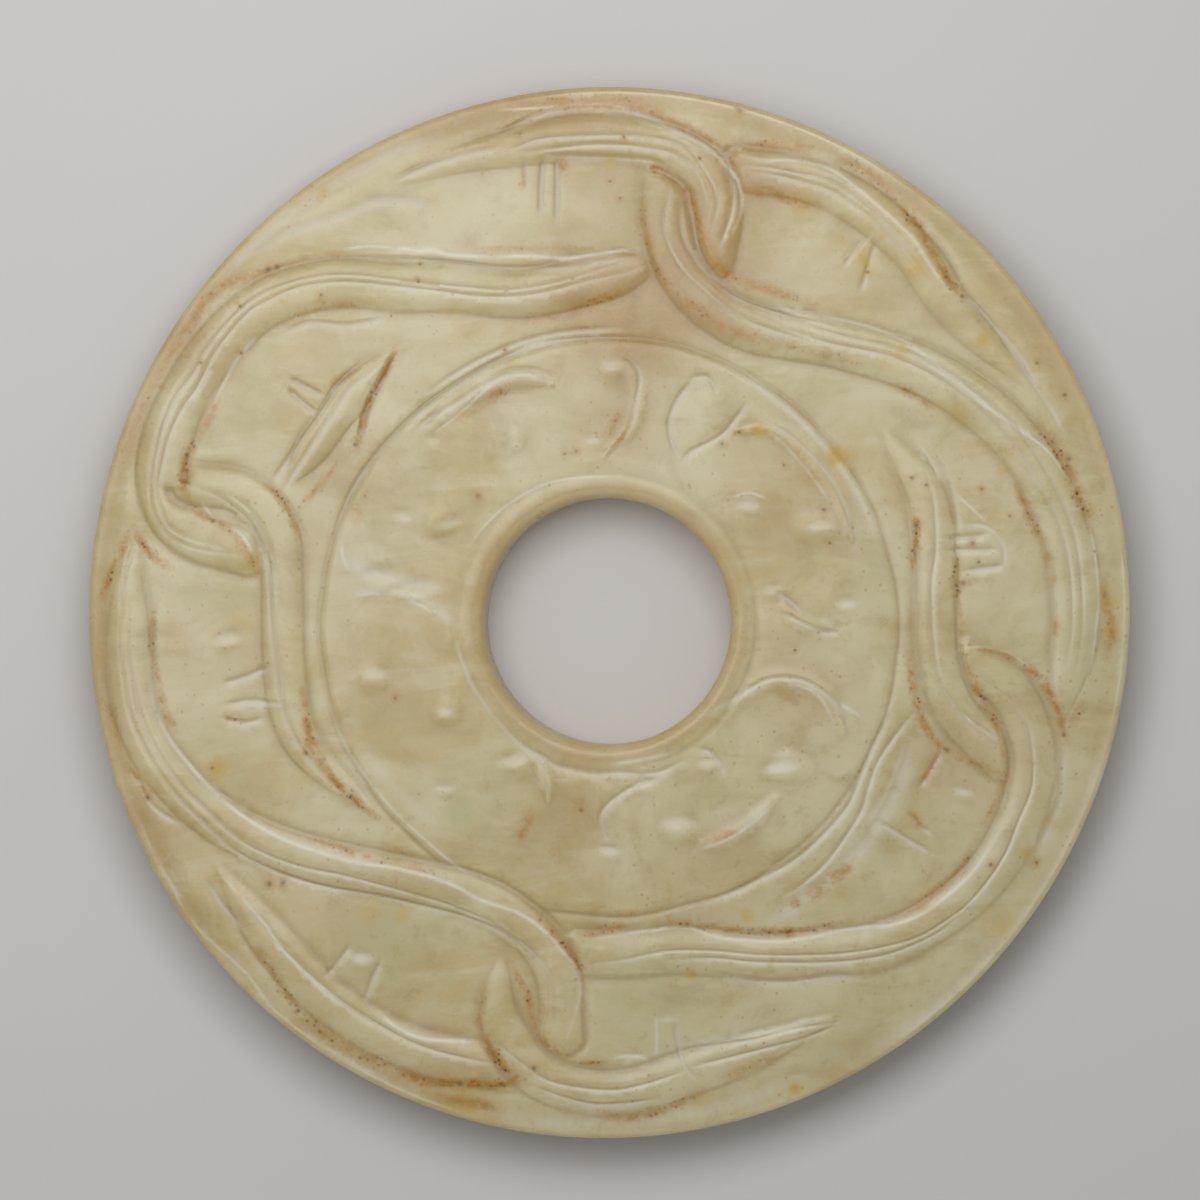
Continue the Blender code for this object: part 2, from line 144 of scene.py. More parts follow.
# The least gap between the mesh's points, by what they follow
SPECK_GAP = 0.05 * MM
CUT_GAP = 0.085 * MM
GLEAM_GAP = 0.1 * MM
RING_GAP = 0.11 * MM
BAND_GAP = 0.13 * MM
CIRCLE_GAP = 0.14 * MM
FILL_GAP = 0.62 * FILL_SPACING
BACK_GAP = 0.7 * BACK_SPACING
FRONT_LOOP_GAP = 0.1 * MM
BACK_LOOP_GAP = 0.2 * MM

# The picture: its scale, the disc's middle in it, and its width
PIXELS_PER_MM = 19.04
DISC_MIDDLE_PIXEL = (609.0, 612.5)
PICTURE_PIXELS = 1200

# How strokes fade: the share of strength left at their ends, and how soon they reach the rest
CUT_END = 0.25
CUT_FADE = 6
STAIN_END = 0.35
STAIN_FADE = 5

# How far each tint reaches, in the half widths or reaches that the tables give, and its
# strength. An edge above 1 keeps the tint full for a part of its reach.
CUT_TINT_REACH = 1.2
# The gleams are painted highlights.
GLEAM_REACH = 1.5
GLEAM_STRENGTH = 1.3
WASH_REACH = 1.3
WASH_STRENGTH = 1.35
DOTS_REACH = 0.8
DOTS_EDGE = 1.5
SPECK_REACH = 0.8
SPECK_EDGE = 1.15
HALO_REACH = 3.0
HALO_STRENGTH = 0.5
PATCH_REACH = 1.4

# How strong the painted highlight is on a cut's lit side and on a facet, and from a cut's middle to its
# side facing the light
LIT_SIDE_STRENGTH = 0.55
FACET_HIGHLIGHT_STRENGTH = 0.36
LIT_SIDE = np.array((0.07, -0.12)) * MM

# The warmer skin of the edge, the tan round the hole, and the painted shade in the hole's mouth: reach
# and strength
RIM_TINT_REACH = 1.4 * MM
RIM_TINT = 0.45
RIM_TINT_AT = 130
RIM_TINT_EVEN_SHARE = 0.65
HOLE_TINT_REACH = 0.8 * MM
HOLE_TINT_EDGE = 1.6
HOLE_TINT = 0.45
MOUTH_TINT_WIDTH = 1.0 * MM
MOUTH_TINT_BLEND = 0.3 * MM
MOUTH_TINT = 0.4

# A hollow counts as full this far below the mean of its surroundings, which reach so many of the
# mesh's edges out. The last value is how strong the painted shade in it gets.
HOLLOW_DEPTH = 0.05 * MM
HOLLOW_STEPS = 8
HOLLOW_SHADE_STRENGTH = 0.38

# Camera, floor and light
CAMERA_HEIGHT = 0.45
CAMERA_CLIP = 0.01
SENSOR = 36.0
FLOOR_REACH = 1.5
FLOOR_BELOW = 0.02 * MM
WINDOW_PLACE = (-0.016, 0.047, 0.155)
WINDOW_AIM = (-0.03, 0.07, 0.0)
WINDOW_SIZE = (0.12, 0.10)
WINDOW_WATTS = 0.158
ROOM_TINT = (0.97, 0.98, 1.0, 1.0)
ROOM_STRENGTH = 0.33
FLOOR_ROUGHNESS = 0.9
FLOOR_GLOSS = 0.1

# Bands, in thousandths of the radius from the middle, placed as in the solid: the course, the
# share of the full width, the shares of the length that taper at its start and its end, and
# how deep the groove is on the left and on the right of the course
Band = namedtuple("Band", "points width taper_start taper_end left right", defaults=(1.0, 1.0))

BANDS = {
    "limb": Band(((-398, 510), (-503, 401), (-611, 249)), 0.75, 0.45, 0.30, 0.8, 0.6),
    "top_arch": Band(((-398, 824), (-265, 870), (-93, 904), (59, 902), (168, 854), (210, 770),
                      (198, 679)), 1.0, 0.5, 0.0, 1.0, 0.5),
    "upper_right": Band(((253, 847), (364, 831), (478, 780), (583, 690), (665, 572), (802, 433)),
                        0.95, 0.0, 0.40, 1.2, 0.4),
    "right_sweep": Band(((105, 828), (107, 757), (143, 643), (250, 553), (459, 508), (630, 447),
                         (773, 336), (859, 191), (895, 24), (867, -195)), 1.05, 0.0, 0.12,
                        1.0, 0.6),
    "upper_left": Band(((100, 672), (-36, 636), (-170, 610), (-341, 622), (-531, 626), (-661, 588),
                        (-766, 485), (-840, 348), (-855, 230), (-798, 148), (-688, 115)),
                       1.05, 0.09, 0.0, 0.5, 1.0),
    "left_inner": Band(((-798, 245), (-703, 230), (-634, 157), (-623, 24), (-619, -129),
                        (-583, -252), (-446, -386)), 0.9, 0.0, 0.35, 0.8, 0.4),
    "left_outer": Band(((-905, 150), (-918, -14), (-912, -167), (-855, -290), (-726, -410),
                        (-531, -481), (-303, -529), (-173, -588), (-101, -685), (-91, -805)),
                       0.95, 0.16, 0.0, 1.1, 0.35),
    "lower_left": Band(((-745, -487), (-661, -605), (-541, -738), (-370, -837), (-192, -871)),
                       0.95, 0.30, 0.0, 0.6, 0.9),
    "bottom_hook": Band(((-204, -666), (-208, -776), (-128, -890), (21, -917), (211, -862),
                         (436, -772)), 0.95, 0.18, 0.35, 0.9, 0.7),
    "lower_right": Band(((-65, -652), (135, -649), (345, -658), (526, -633), (678, -548),
                         (771, -430), (810, -281), (768, -151), (672, -90)), 0.95, 0.0, 0.0,
                        1.0, 0.45),
    "right_inner": Band(((526, 344), (596, 243), (625, 100), (623, -52), (659, -182),
                         (754, -281)), 0.9, 0.25, 0.0, 0.9, 0.7),
}

# The order in which stretches of the bands are carved, each between two shares of its length
LAYERS = (
    ("limb", 0.0, 1.0),
    ("left_outer", 0.0, 1.0),
    ("upper_right", 0.0, 1.0),
    ("lower_left", 0.0, 1.0),
    ("upper_left", 0.0, 1.0),
    ("top_arch", 0.0, 1.0),
    ("right_sweep", 0.0, 1.0),
    ("top_arch", 0.45, 0.80),
    ("left_inner", 0.0, 1.0),
    ("upper_left", 0.62, 0.84),
    ("lower_right", 0.0, 1.0),
    ("bottom_hook", 0.0, 1.0),
    ("left_outer", 0.72, 0.93),
    ("right_inner", 0.0, 1.0),
    ("lower_right", 0.66, 0.90),
)

# Small facets in the ring and the fields: centre and reach in pixels. Each slopes down towards
# the top of the picture and catches the light. Then that slope, and the facets' shape.
FACETS = ((436, 441, 9), (513, 446, 9), (590, 444, 10), (399, 514, 12), (446, 523, 12), (378, 675, 16),
          (444, 714, 12), (510, 761, 16), (446, 789, 12), (615, 368, 13), (781, 770, 18),
          (710, 764, 12), (641, 784, 12), (683, 826, 20), (610, 852, 13), (821, 525, 12),
          (775, 584, 11), (852, 606, 12), (750, 508, 12), (375, 580, 20), (420, 590, 18),
          (362, 955, 14), (962, 790, 12), (667, 1023, 9), (632, 1059, 12), (230, 640, 16),
          (700, 610, 12), (560, 700, 12))
FACET_TILT = 0.19
FACET_SHAPE = np.array((0.75, 1.25))

# Scrolls inside the ring, written as the bands are, and bosses: place and share of full size
SCROLLS = (
    Band(((-341, 348), (-303, 390), (-236, 431), (-170, 449), (-107, 439)), 1.0, 0.3, 0.3),
    Band(((17, 487), (51, 447), (48, 370), (-13, 294)), 0.9, 0.2, 0.5),
    Band(((240, 348), (307, 357), (373, 310), (427, 233), (463, 138)), 1.0, 0.3, 0.4),
    Band(((326, 24), (364, -14), (436, -33)), 0.9, 0.3, 0.5),
    Band(((173, -243), (230, -176), (297, -132), (364, -127), (421, -167), (451, -228)),
         1.0, 0.3, 0.3),
    Band(((173, -445), (259, -410), (322, -353)), 0.8, 0.3, 0.4),
    Band(((-160, -247), (-124, -304), (-116, -361)), 0.8, 0.2, 0.4),
)

BOSSES = ((6, 466, 1.0), (183, 372, 1.9), (-179, 332, 0.8), (392, 167, 1.2), (345, -296, 1.2),
          (135, -410, 1.2), (-179, -290, 0.9), (-312, -190, 1.0), (-451, -123, 1.1), (-331, 186, 1.0))

# What follows is placed by the picture's pixels, x to the right and y down.
# A cut: its course, half its width and its depth in millimetres, and how dark it is
Cut = namedtuple("Cut", "course width depth tint")

# What all fine lines share, and what all soft ones share: half width, depth and darkness
FINE_CUT = (0.13, 0.055, 0.5)
SOFT_CUT = (0.22, 0.045, 0.35)

FINE_LINES = (
    # top arch and its hook
    ((500, 150), (516, 146), (538, 138), (574, 135), (623, 134), (659, 137), (688, 147), (703, 167),
     (715, 188), (717, 204), (711, 227)),
    ((526, 151), (586, 144), (623, 144), (655, 148), (674, 153), (693, 167), (703, 185), (707, 206),
     (706, 227)),
    ((727, 167), (732, 190), (730, 214), (719, 246)),
    # right sweep
    ((668, 190), (664, 222), (670, 246), (683, 268), (703, 288), (727, 308), (759, 324), (809, 340)),
    ((680, 196), (680, 217), (684, 238), (697, 262), (717, 283), (746, 300), (788, 314), (830, 324)),
    ((754, 312), (788, 328), (825, 341), (859, 348), (886, 354), (915, 365), (944, 381), (970, 400),
     (992, 421), (1015, 447), (1034, 474), (1049, 501), (1060, 528), (1067, 556), (1071, 590),
     (1071, 630), (1066, 665)),
    ((760, 303), (795, 318), (830, 331), (863, 339), (892, 345), (921, 356), (950, 372), (977, 391),
     (1001, 412), (1024, 437), (1043, 464), (1058, 492), (1070, 522), (1077, 552), (1081, 590),
     (1081, 632), (1076, 668)),
    # upper right band
    ((743, 164), (772, 167), (799, 172), (825, 177), (846, 188), (867, 204), (886, 222), (904, 241),
     (920, 259)),
    ((751, 170), (777, 174), (804, 181), (830, 189), (851, 202), (873, 218), (891, 236), (910, 258),
     (925, 279)),
    # upper left band, down to its hook
    ((642, 265), (623, 272), (586, 280), (550, 290), (516, 295), (477, 295), (440, 290), (367, 282),
     (333, 281), (299, 286), (270, 298), (246, 313), (221, 342), (209, 361), (197, 385), (180, 410),
     (168, 436), (161, 463), (157, 487), (160, 507), (168, 526), (190, 538), (221, 546)),
    ((637, 257), (599, 268), (569, 278), (538, 285), (506, 289), (465, 286), (416, 281), (357, 274),
     (319, 275), (285, 283), (255, 296), (228, 320), (204, 349), (192, 373), (175, 395), (163, 422),
     (156, 449), (152, 473), (151, 497), (156, 519), (170, 536), (197, 548), (236, 553)),
    # left inner band
    ((192, 485), (217, 495), (236, 507), (251, 521), (260, 538), (268, 563), (270, 594), (274, 643),
     (279, 677), (283, 707), (295, 739), (313, 764), (331, 782), (354, 797)),
    ((230, 494), (248, 508), (260, 526), (267, 545), (272, 570), (275, 610)),
    # left outer band
    ((122, 600), (120, 643), (124, 682), (131, 718), (147, 753), (169, 787), (197, 816), (229, 845),
     (261, 863), (295, 877), (329, 886), (377, 894), (425, 905), (464, 915), (498, 929), (520, 945),
     (540, 966), (548, 990), (548, 1018)),
    ((131, 600), (129, 643), (133, 680), (140, 714), (155, 748), (177, 781), (204, 808), (236, 836),
     (266, 853), (303, 866), (342, 874), (381, 884), (420, 895), (450, 904), (485, 919), (514, 937),
     (538, 957), (551, 977), (555, 997), (555, 1021)),
    # lower left band
    ((250, 911), (275, 939), (308, 972), (342, 1000), (364, 1014), (397, 1034), (430, 1048),
     (470, 1058), (500, 1063)),
    ((238, 897), (261, 919), (286, 951), (314, 979), (347, 1006), (381, 1026), (414, 1042)),
    # bottom hook
    ((500, 1044), (526, 1065), (547, 1079), (576, 1086), (614, 1089), (649, 1082), (684, 1070)),
    ((532, 1085), (567, 1097), (596, 1103), (626, 1102), (655, 1098)),
    ((684, 1050), (714, 1044), (755, 1038), (790, 1029), (837, 1021)),
    ((693, 1065), (731, 1056), (766, 1047), (801, 1038), (834, 1025)),
    # lower right band and its hook
    ((588, 963), (626, 958), (667, 950), (714, 950), (760, 954), (816, 954), (855, 951), (892, 944),
     (920, 935), (942, 922), (965, 905), (987, 880), (1005, 852), (1017, 822), (1030, 790), (1032, 760),
     (1027, 727), (1012, 700), (992, 685), (980, 677)),
    ((667, 958), (714, 957), (760, 961), (831, 961), (880, 955), (910, 945), (940, 930), (967, 907)),
    # right inner band
    ((923, 466), (929, 485), (933, 505), (935, 547), (931, 579), (931, 610), (933, 641), (937, 670),
     (948, 697), (966, 720), (986, 738), (1001, 748)),
    ((946, 690), (958, 708), (975, 722), (1000, 738)),
)

SOFT_LINES = (
    # inside the rim, over the top arch
    ((500, 133), (515, 124), (540, 112), (560, 107), (600, 104), (640, 109)),
    ((393, 178), (430, 163), (470, 152), (505, 146)),
    ((545, 155), (600, 156), (650, 160), (672, 170)),
    # the ring's second line
    ((428, 392), (453, 374), (479, 359), (513, 344), (545, 335), (580, 330), (620, 328)),
    ((333, 544), (341, 512), (359, 476), (384, 444), (412, 416), (440, 394), (470, 375), (504, 356),
     (534, 343), (577, 337), (620, 337)),
    # the groove from the collar
    ((451, 621), (457, 649), (470, 681), (489, 709), (513, 737), (534, 757), (547, 778), (547, 800)),
    ((513, 737), (534, 752), (556, 765), (588, 773), (620, 772), (656, 772), (683, 760)),
    # limb
    ((357, 366), (335, 386), (327, 400), (308, 428), (285, 462), (268, 487)),
    ((384, 360), (352, 384), (330, 415), (300, 462), (282, 490)),
    ((280, 333), (310, 322), (345, 324), (385, 318)),
    # ring scrolls
    ((412, 433), (431, 416), (457, 401), (483, 384), (509, 371), (534, 369), (551, 376)),
    ((739, 424), (754, 421), (771, 424), (791, 436), (812, 456), (829, 476), (842, 499), (850, 523),
     (855, 545)),
    ((692, 379), (677, 399), (669, 420), (671, 441), (681, 461)),
    ((745, 405), (722, 433), (692, 450), (681, 461)),
    ((692, 376), (708, 377), (717, 394)),
    ((627, 356), (639, 373), (636, 400), (626, 433), (606, 455)),
    ((700, 716), (724, 702), (745, 690), (770, 678), (800, 679), (824, 692), (840, 709), (848, 733)),
    ((699, 747), (714, 754), (724, 774)),
    ((612, 850), (600, 815), (625, 790), (660, 776)),
    ((782, 612), (806, 624), (827, 631), (842, 626)),
    ((775, 590), (789, 600), (800, 612)),
    # fields
    ((222, 683), (245, 676), (268, 666)),
    ((225, 704), (250, 700), (280, 703)),
    ((223, 718), (243, 722), (262, 718)),
    ((877, 820), (905, 837), (930, 852)),
    ((907, 812), (920, 824), (930, 833)),
    ((940, 752), (930, 770), (919, 787)),
    ((915, 710), (897, 732), (877, 762), (867, 790), (860, 812), (830, 857), (800, 885), (780, 897)),
    ((890, 715), (872, 745), (855, 790), (840, 815), (800, 855), (757, 880), (700, 905)),
    ((936, 457), (947, 475), (954, 496), (958, 516), (960, 529)),
    ((325, 975), (337, 962), (350, 944)),
    ((380, 960), (372, 978), (365, 998)),
    ((673, 1020), (678, 1044), (684, 1065), (696, 1079)),
    ((860, 240), (852, 252), (845, 264)),
    ((875, 243), (868, 266), (861, 290)),
    # outside the left outer band
    ((134, 540), (131, 554), (124, 580), (119, 612)),
    ((126, 766), (139, 782), (149, 801), (160, 812), (178, 823)),
    ((207, 880), (222, 905), (245, 930)),
    # tail of the upper right band
    ((944, 275), (970, 299), (992, 323), (1015, 348), (1035, 380)),
    ((1000, 335), (1020, 365), (1045, 400), (1062, 430)),
)

BOLD_CUTS = [Cut(*row) for row in (
    (((490, 137), (515, 125), (543, 111), (572, 105), (609, 107), (641, 113), (666, 123), (698, 137),
      (727, 153)), 0.26, 0.02, 0.6),
    (((915, 735), (895, 790), (865, 840), (820, 885), (760, 925)), 0.7, 0.03, 0.2),
    (((966, 523), (985, 525), (999, 537), (1004, 554), (1003, 568)), 0.2, 0.015, 0.25),
    (((1065, 745), (1062, 775), (1060, 800), (1050, 822), (1037, 852)), 0.3, 0.03, 0.4),
    (((708, 971), (743, 978), (787, 981), (828, 975), (860, 974)), 0.25, 0.02, 0.4),
    (((380, 256), (409, 258), (453, 262), (489, 266), (526, 267), (565, 266), (599, 260),
      (637, 255)), 0.2, 0.02, 0.4),
    (((440, 205), (380, 200), (340, 215), (280, 235), (240, 260)), 0.5, 0.03, 0.4),
    (((440, 132), (385, 155), (330, 185), (270, 228), (215, 280)), 0.5, 0.02, 0.35),
    (((543, 156), (541, 185), (540, 215)), 0.26, 0.08, 0.4),
    (((557, 152), (557, 185), (556, 222)), 0.26, 0.08, 0.4),
    (((525, 160), (525, 188)), 0.25, 0.03, 0.3),
    (((289, 377), (305, 386), (323, 395)), 0.24, 0.08, 0.4),
    (((287, 388), (300, 400), (316, 412)), 0.24, 0.08, 0.4),
    (((398, 347), (386, 370), (373, 393), (365, 415), (359, 443)), 0.30, 0.12, 0.7),
    (((945, 538), (968, 536), (985, 535)), 0.25, 0.08, 0.2),
    (((945, 550), (970, 549), (996, 549)), 0.22, 0.07, 0.1),
    (((967, 569), (985, 567), (1003, 565)), 0.25, 0.08, 0.2),
)]

# Painted highlights where a ridge or the rim catches the light: the course, half its width in
# millimetres and how pale the painted highlight is
Gleam = namedtuple("Gleam", "course width amount")

GLEAMS = [Gleam(*row) for row in (
    # inside the ring's border
    (((356, 739), (380, 771), (410, 806), (440, 831)), 0.4, 0.25),
    (((905, 745), (885, 795), (855, 840), (815, 878)), 0.14, 0.35),
    (((345, 560), (370, 572), (405, 583), (450, 590)), 0.45, 0.5),
    (((352, 592), (385, 590), (425, 600), (455, 625)), 0.3, 0.5),
    # top
    (((640, 123), (674, 132), (706, 147), (727, 167), (739, 182), (742, 204), (738, 222),
      (727, 241)), 0.13, 0.6),
    (((500, 110), (550, 107), (599, 104), (637, 109)), 0.09, 0.7),
    (((489, 257), (526, 256), (565, 258), (599, 254), (637, 248)), 0.12, 0.7),
    (((390, 252), (404, 249), (418, 251), (431, 250), (450, 255), (489, 257)), 0.16, 0.8),
    (((345, 249), (370, 246), (395, 248)), 0.1, 0.5),
    (((740, 155), (762, 160), (788, 160), (809, 163), (830, 169), (851, 183), (873, 201), (894, 220),
      (915, 241), (928, 262), (941, 280), (957, 299)), 0.12, 0.6),
    (((846, 259), (852, 248), (859, 238)), 0.1, 0.6),
    (((851, 262), (862, 248), (873, 234)), 0.1, 0.6),
    # left
    (((255, 339), (236, 361), (219, 393), (204, 424)), 0.12, 0.5),
    (((149, 654), (151, 682), (155, 711), (169, 739), (190, 766), (213, 791), (240, 814), (274, 835),
      (309, 849), (354, 862), (400, 869), (448, 883), (481, 900), (520, 914), (547, 933), (564, 953),
      (576, 968), (580, 991), (576, 1012), (567, 1038)), 0.14, 0.7),
    (((341, 544), (343, 557), (348, 570)), 0.1, 0.6),
    (((352, 594), (368, 593), (384, 592)), 0.14, 0.6),
    (((406, 600), (423, 606), (440, 615)), 0.14, 0.7),
    (((200, 500), (215, 520), (238, 532), (252, 550)), 0.12, 0.5),
    # right
    (((918, 357), (947, 378), (974, 398), (999, 415), (1026, 434), (1047, 450), (1063, 471),
      (1076, 492), (1086, 514), (1092, 537), (1096, 562), (1099, 599), (1096, 630), (1092, 661),
      (1086, 682)), 0.1, 0.6),
    (((754, 301), (783, 308), (809, 315), (841, 320), (873, 328), (904, 341), (931, 360), (957, 381),
      (984, 402), (1010, 426)), 0.12, 0.5),
    (((920, 446), (933, 463), (941, 483)), 0.12, 0.6),
    (((956, 494), (974, 510), (987, 523)), 0.1, 0.6),
    (((955, 652), (975, 647), (998, 650), (1020, 660), (1042, 683), (1058, 708)), 0.1, 0.5),
    # bottom
    (((585, 939), (614, 936), (649, 931), (684, 927), (714, 936), (743, 940), (787, 941), (831, 933),
      (860, 928), (892, 925), (920, 915), (942, 900), (970, 875), (987, 852), (1000, 830)), 0.13, 0.7),
    (((378, 1011), (397, 1028), (425, 1039), (478, 1042)), 0.15, 0.7),
    (((219, 872), (241, 897), (261, 919), (286, 953), (314, 981), (347, 1008)), 0.12, 0.7),
    (((614, 1058), (632, 1056), (649, 1060)), 0.14, 0.7),
    (((655, 1015), (657, 1035), (656, 1056)), 0.12, 0.5),
    (((690, 1045), (730, 1038), (780, 1030), (830, 1018)), 0.12, 0.6),
    # ring
    (((470, 544), (487, 523), (513, 501), (545, 484), (577, 478), (620, 476)), 0.1, 0.6),
    (((612, 764), (640, 760), (674, 753)), 0.14, 0.5),
    (((436, 431), (457, 416), (479, 396), (502, 379), (526, 375), (547, 376), (558, 386)), 0.1, 0.5),
    (((767, 431), (784, 444), (801, 463), (816, 482), (829, 501)), 0.12, 0.5),
    (((756, 691), (776, 680), (796, 684), (818, 695), (829, 713), (836, 728)), 0.12, 0.5),
    (((840, 704), (850, 710), (860, 717)), 0.14, 0.6),
    (((696, 850), (723, 841), (749, 826), (772, 804)), 0.14, 0.6),
    (((733, 497), (750, 493), (767, 499)), 0.1, 0.5),
    (((698, 755), (714, 757), (721, 771)), 0.1, 0.6),
    (((330, 705), (345, 745), (372, 785), (405, 822), (440, 853), (475, 880)), 0.12, 0.5),
    (((725, 366), (760, 388), (795, 416), (825, 446), (850, 480), (870, 515), (884, 548)), 0.25, 0.35),
    # rim
    (((1108, 745), (1085, 820), (1045, 895), (990, 962), (925, 1018), (850, 1062)), 0.45, 0.4),
    (((800, 1082), (720, 1108), (640, 1122), (560, 1124), (480, 1112)), 0.35, 0.3),
    (((1122, 540), (1126, 600), (1124, 660), (1114, 722)), 0.14, 0.5),
    (((520, 96), (600, 92), (680, 97), (760, 115), (840, 146), (910, 186)), 0.1, 0.5),
    (((141, 825), (155, 858), (175, 891), (183, 914), (214, 944), (247, 975), (280, 1017), (325, 1047),
      (370, 1075), (423, 1100), (478, 1120)), 0.12, 0.45),
)]

# A stain: its course, half its width in millimetres, how strong it is and how dark its dots are
Stain = namedtuple("Stain", "course width wash dots")

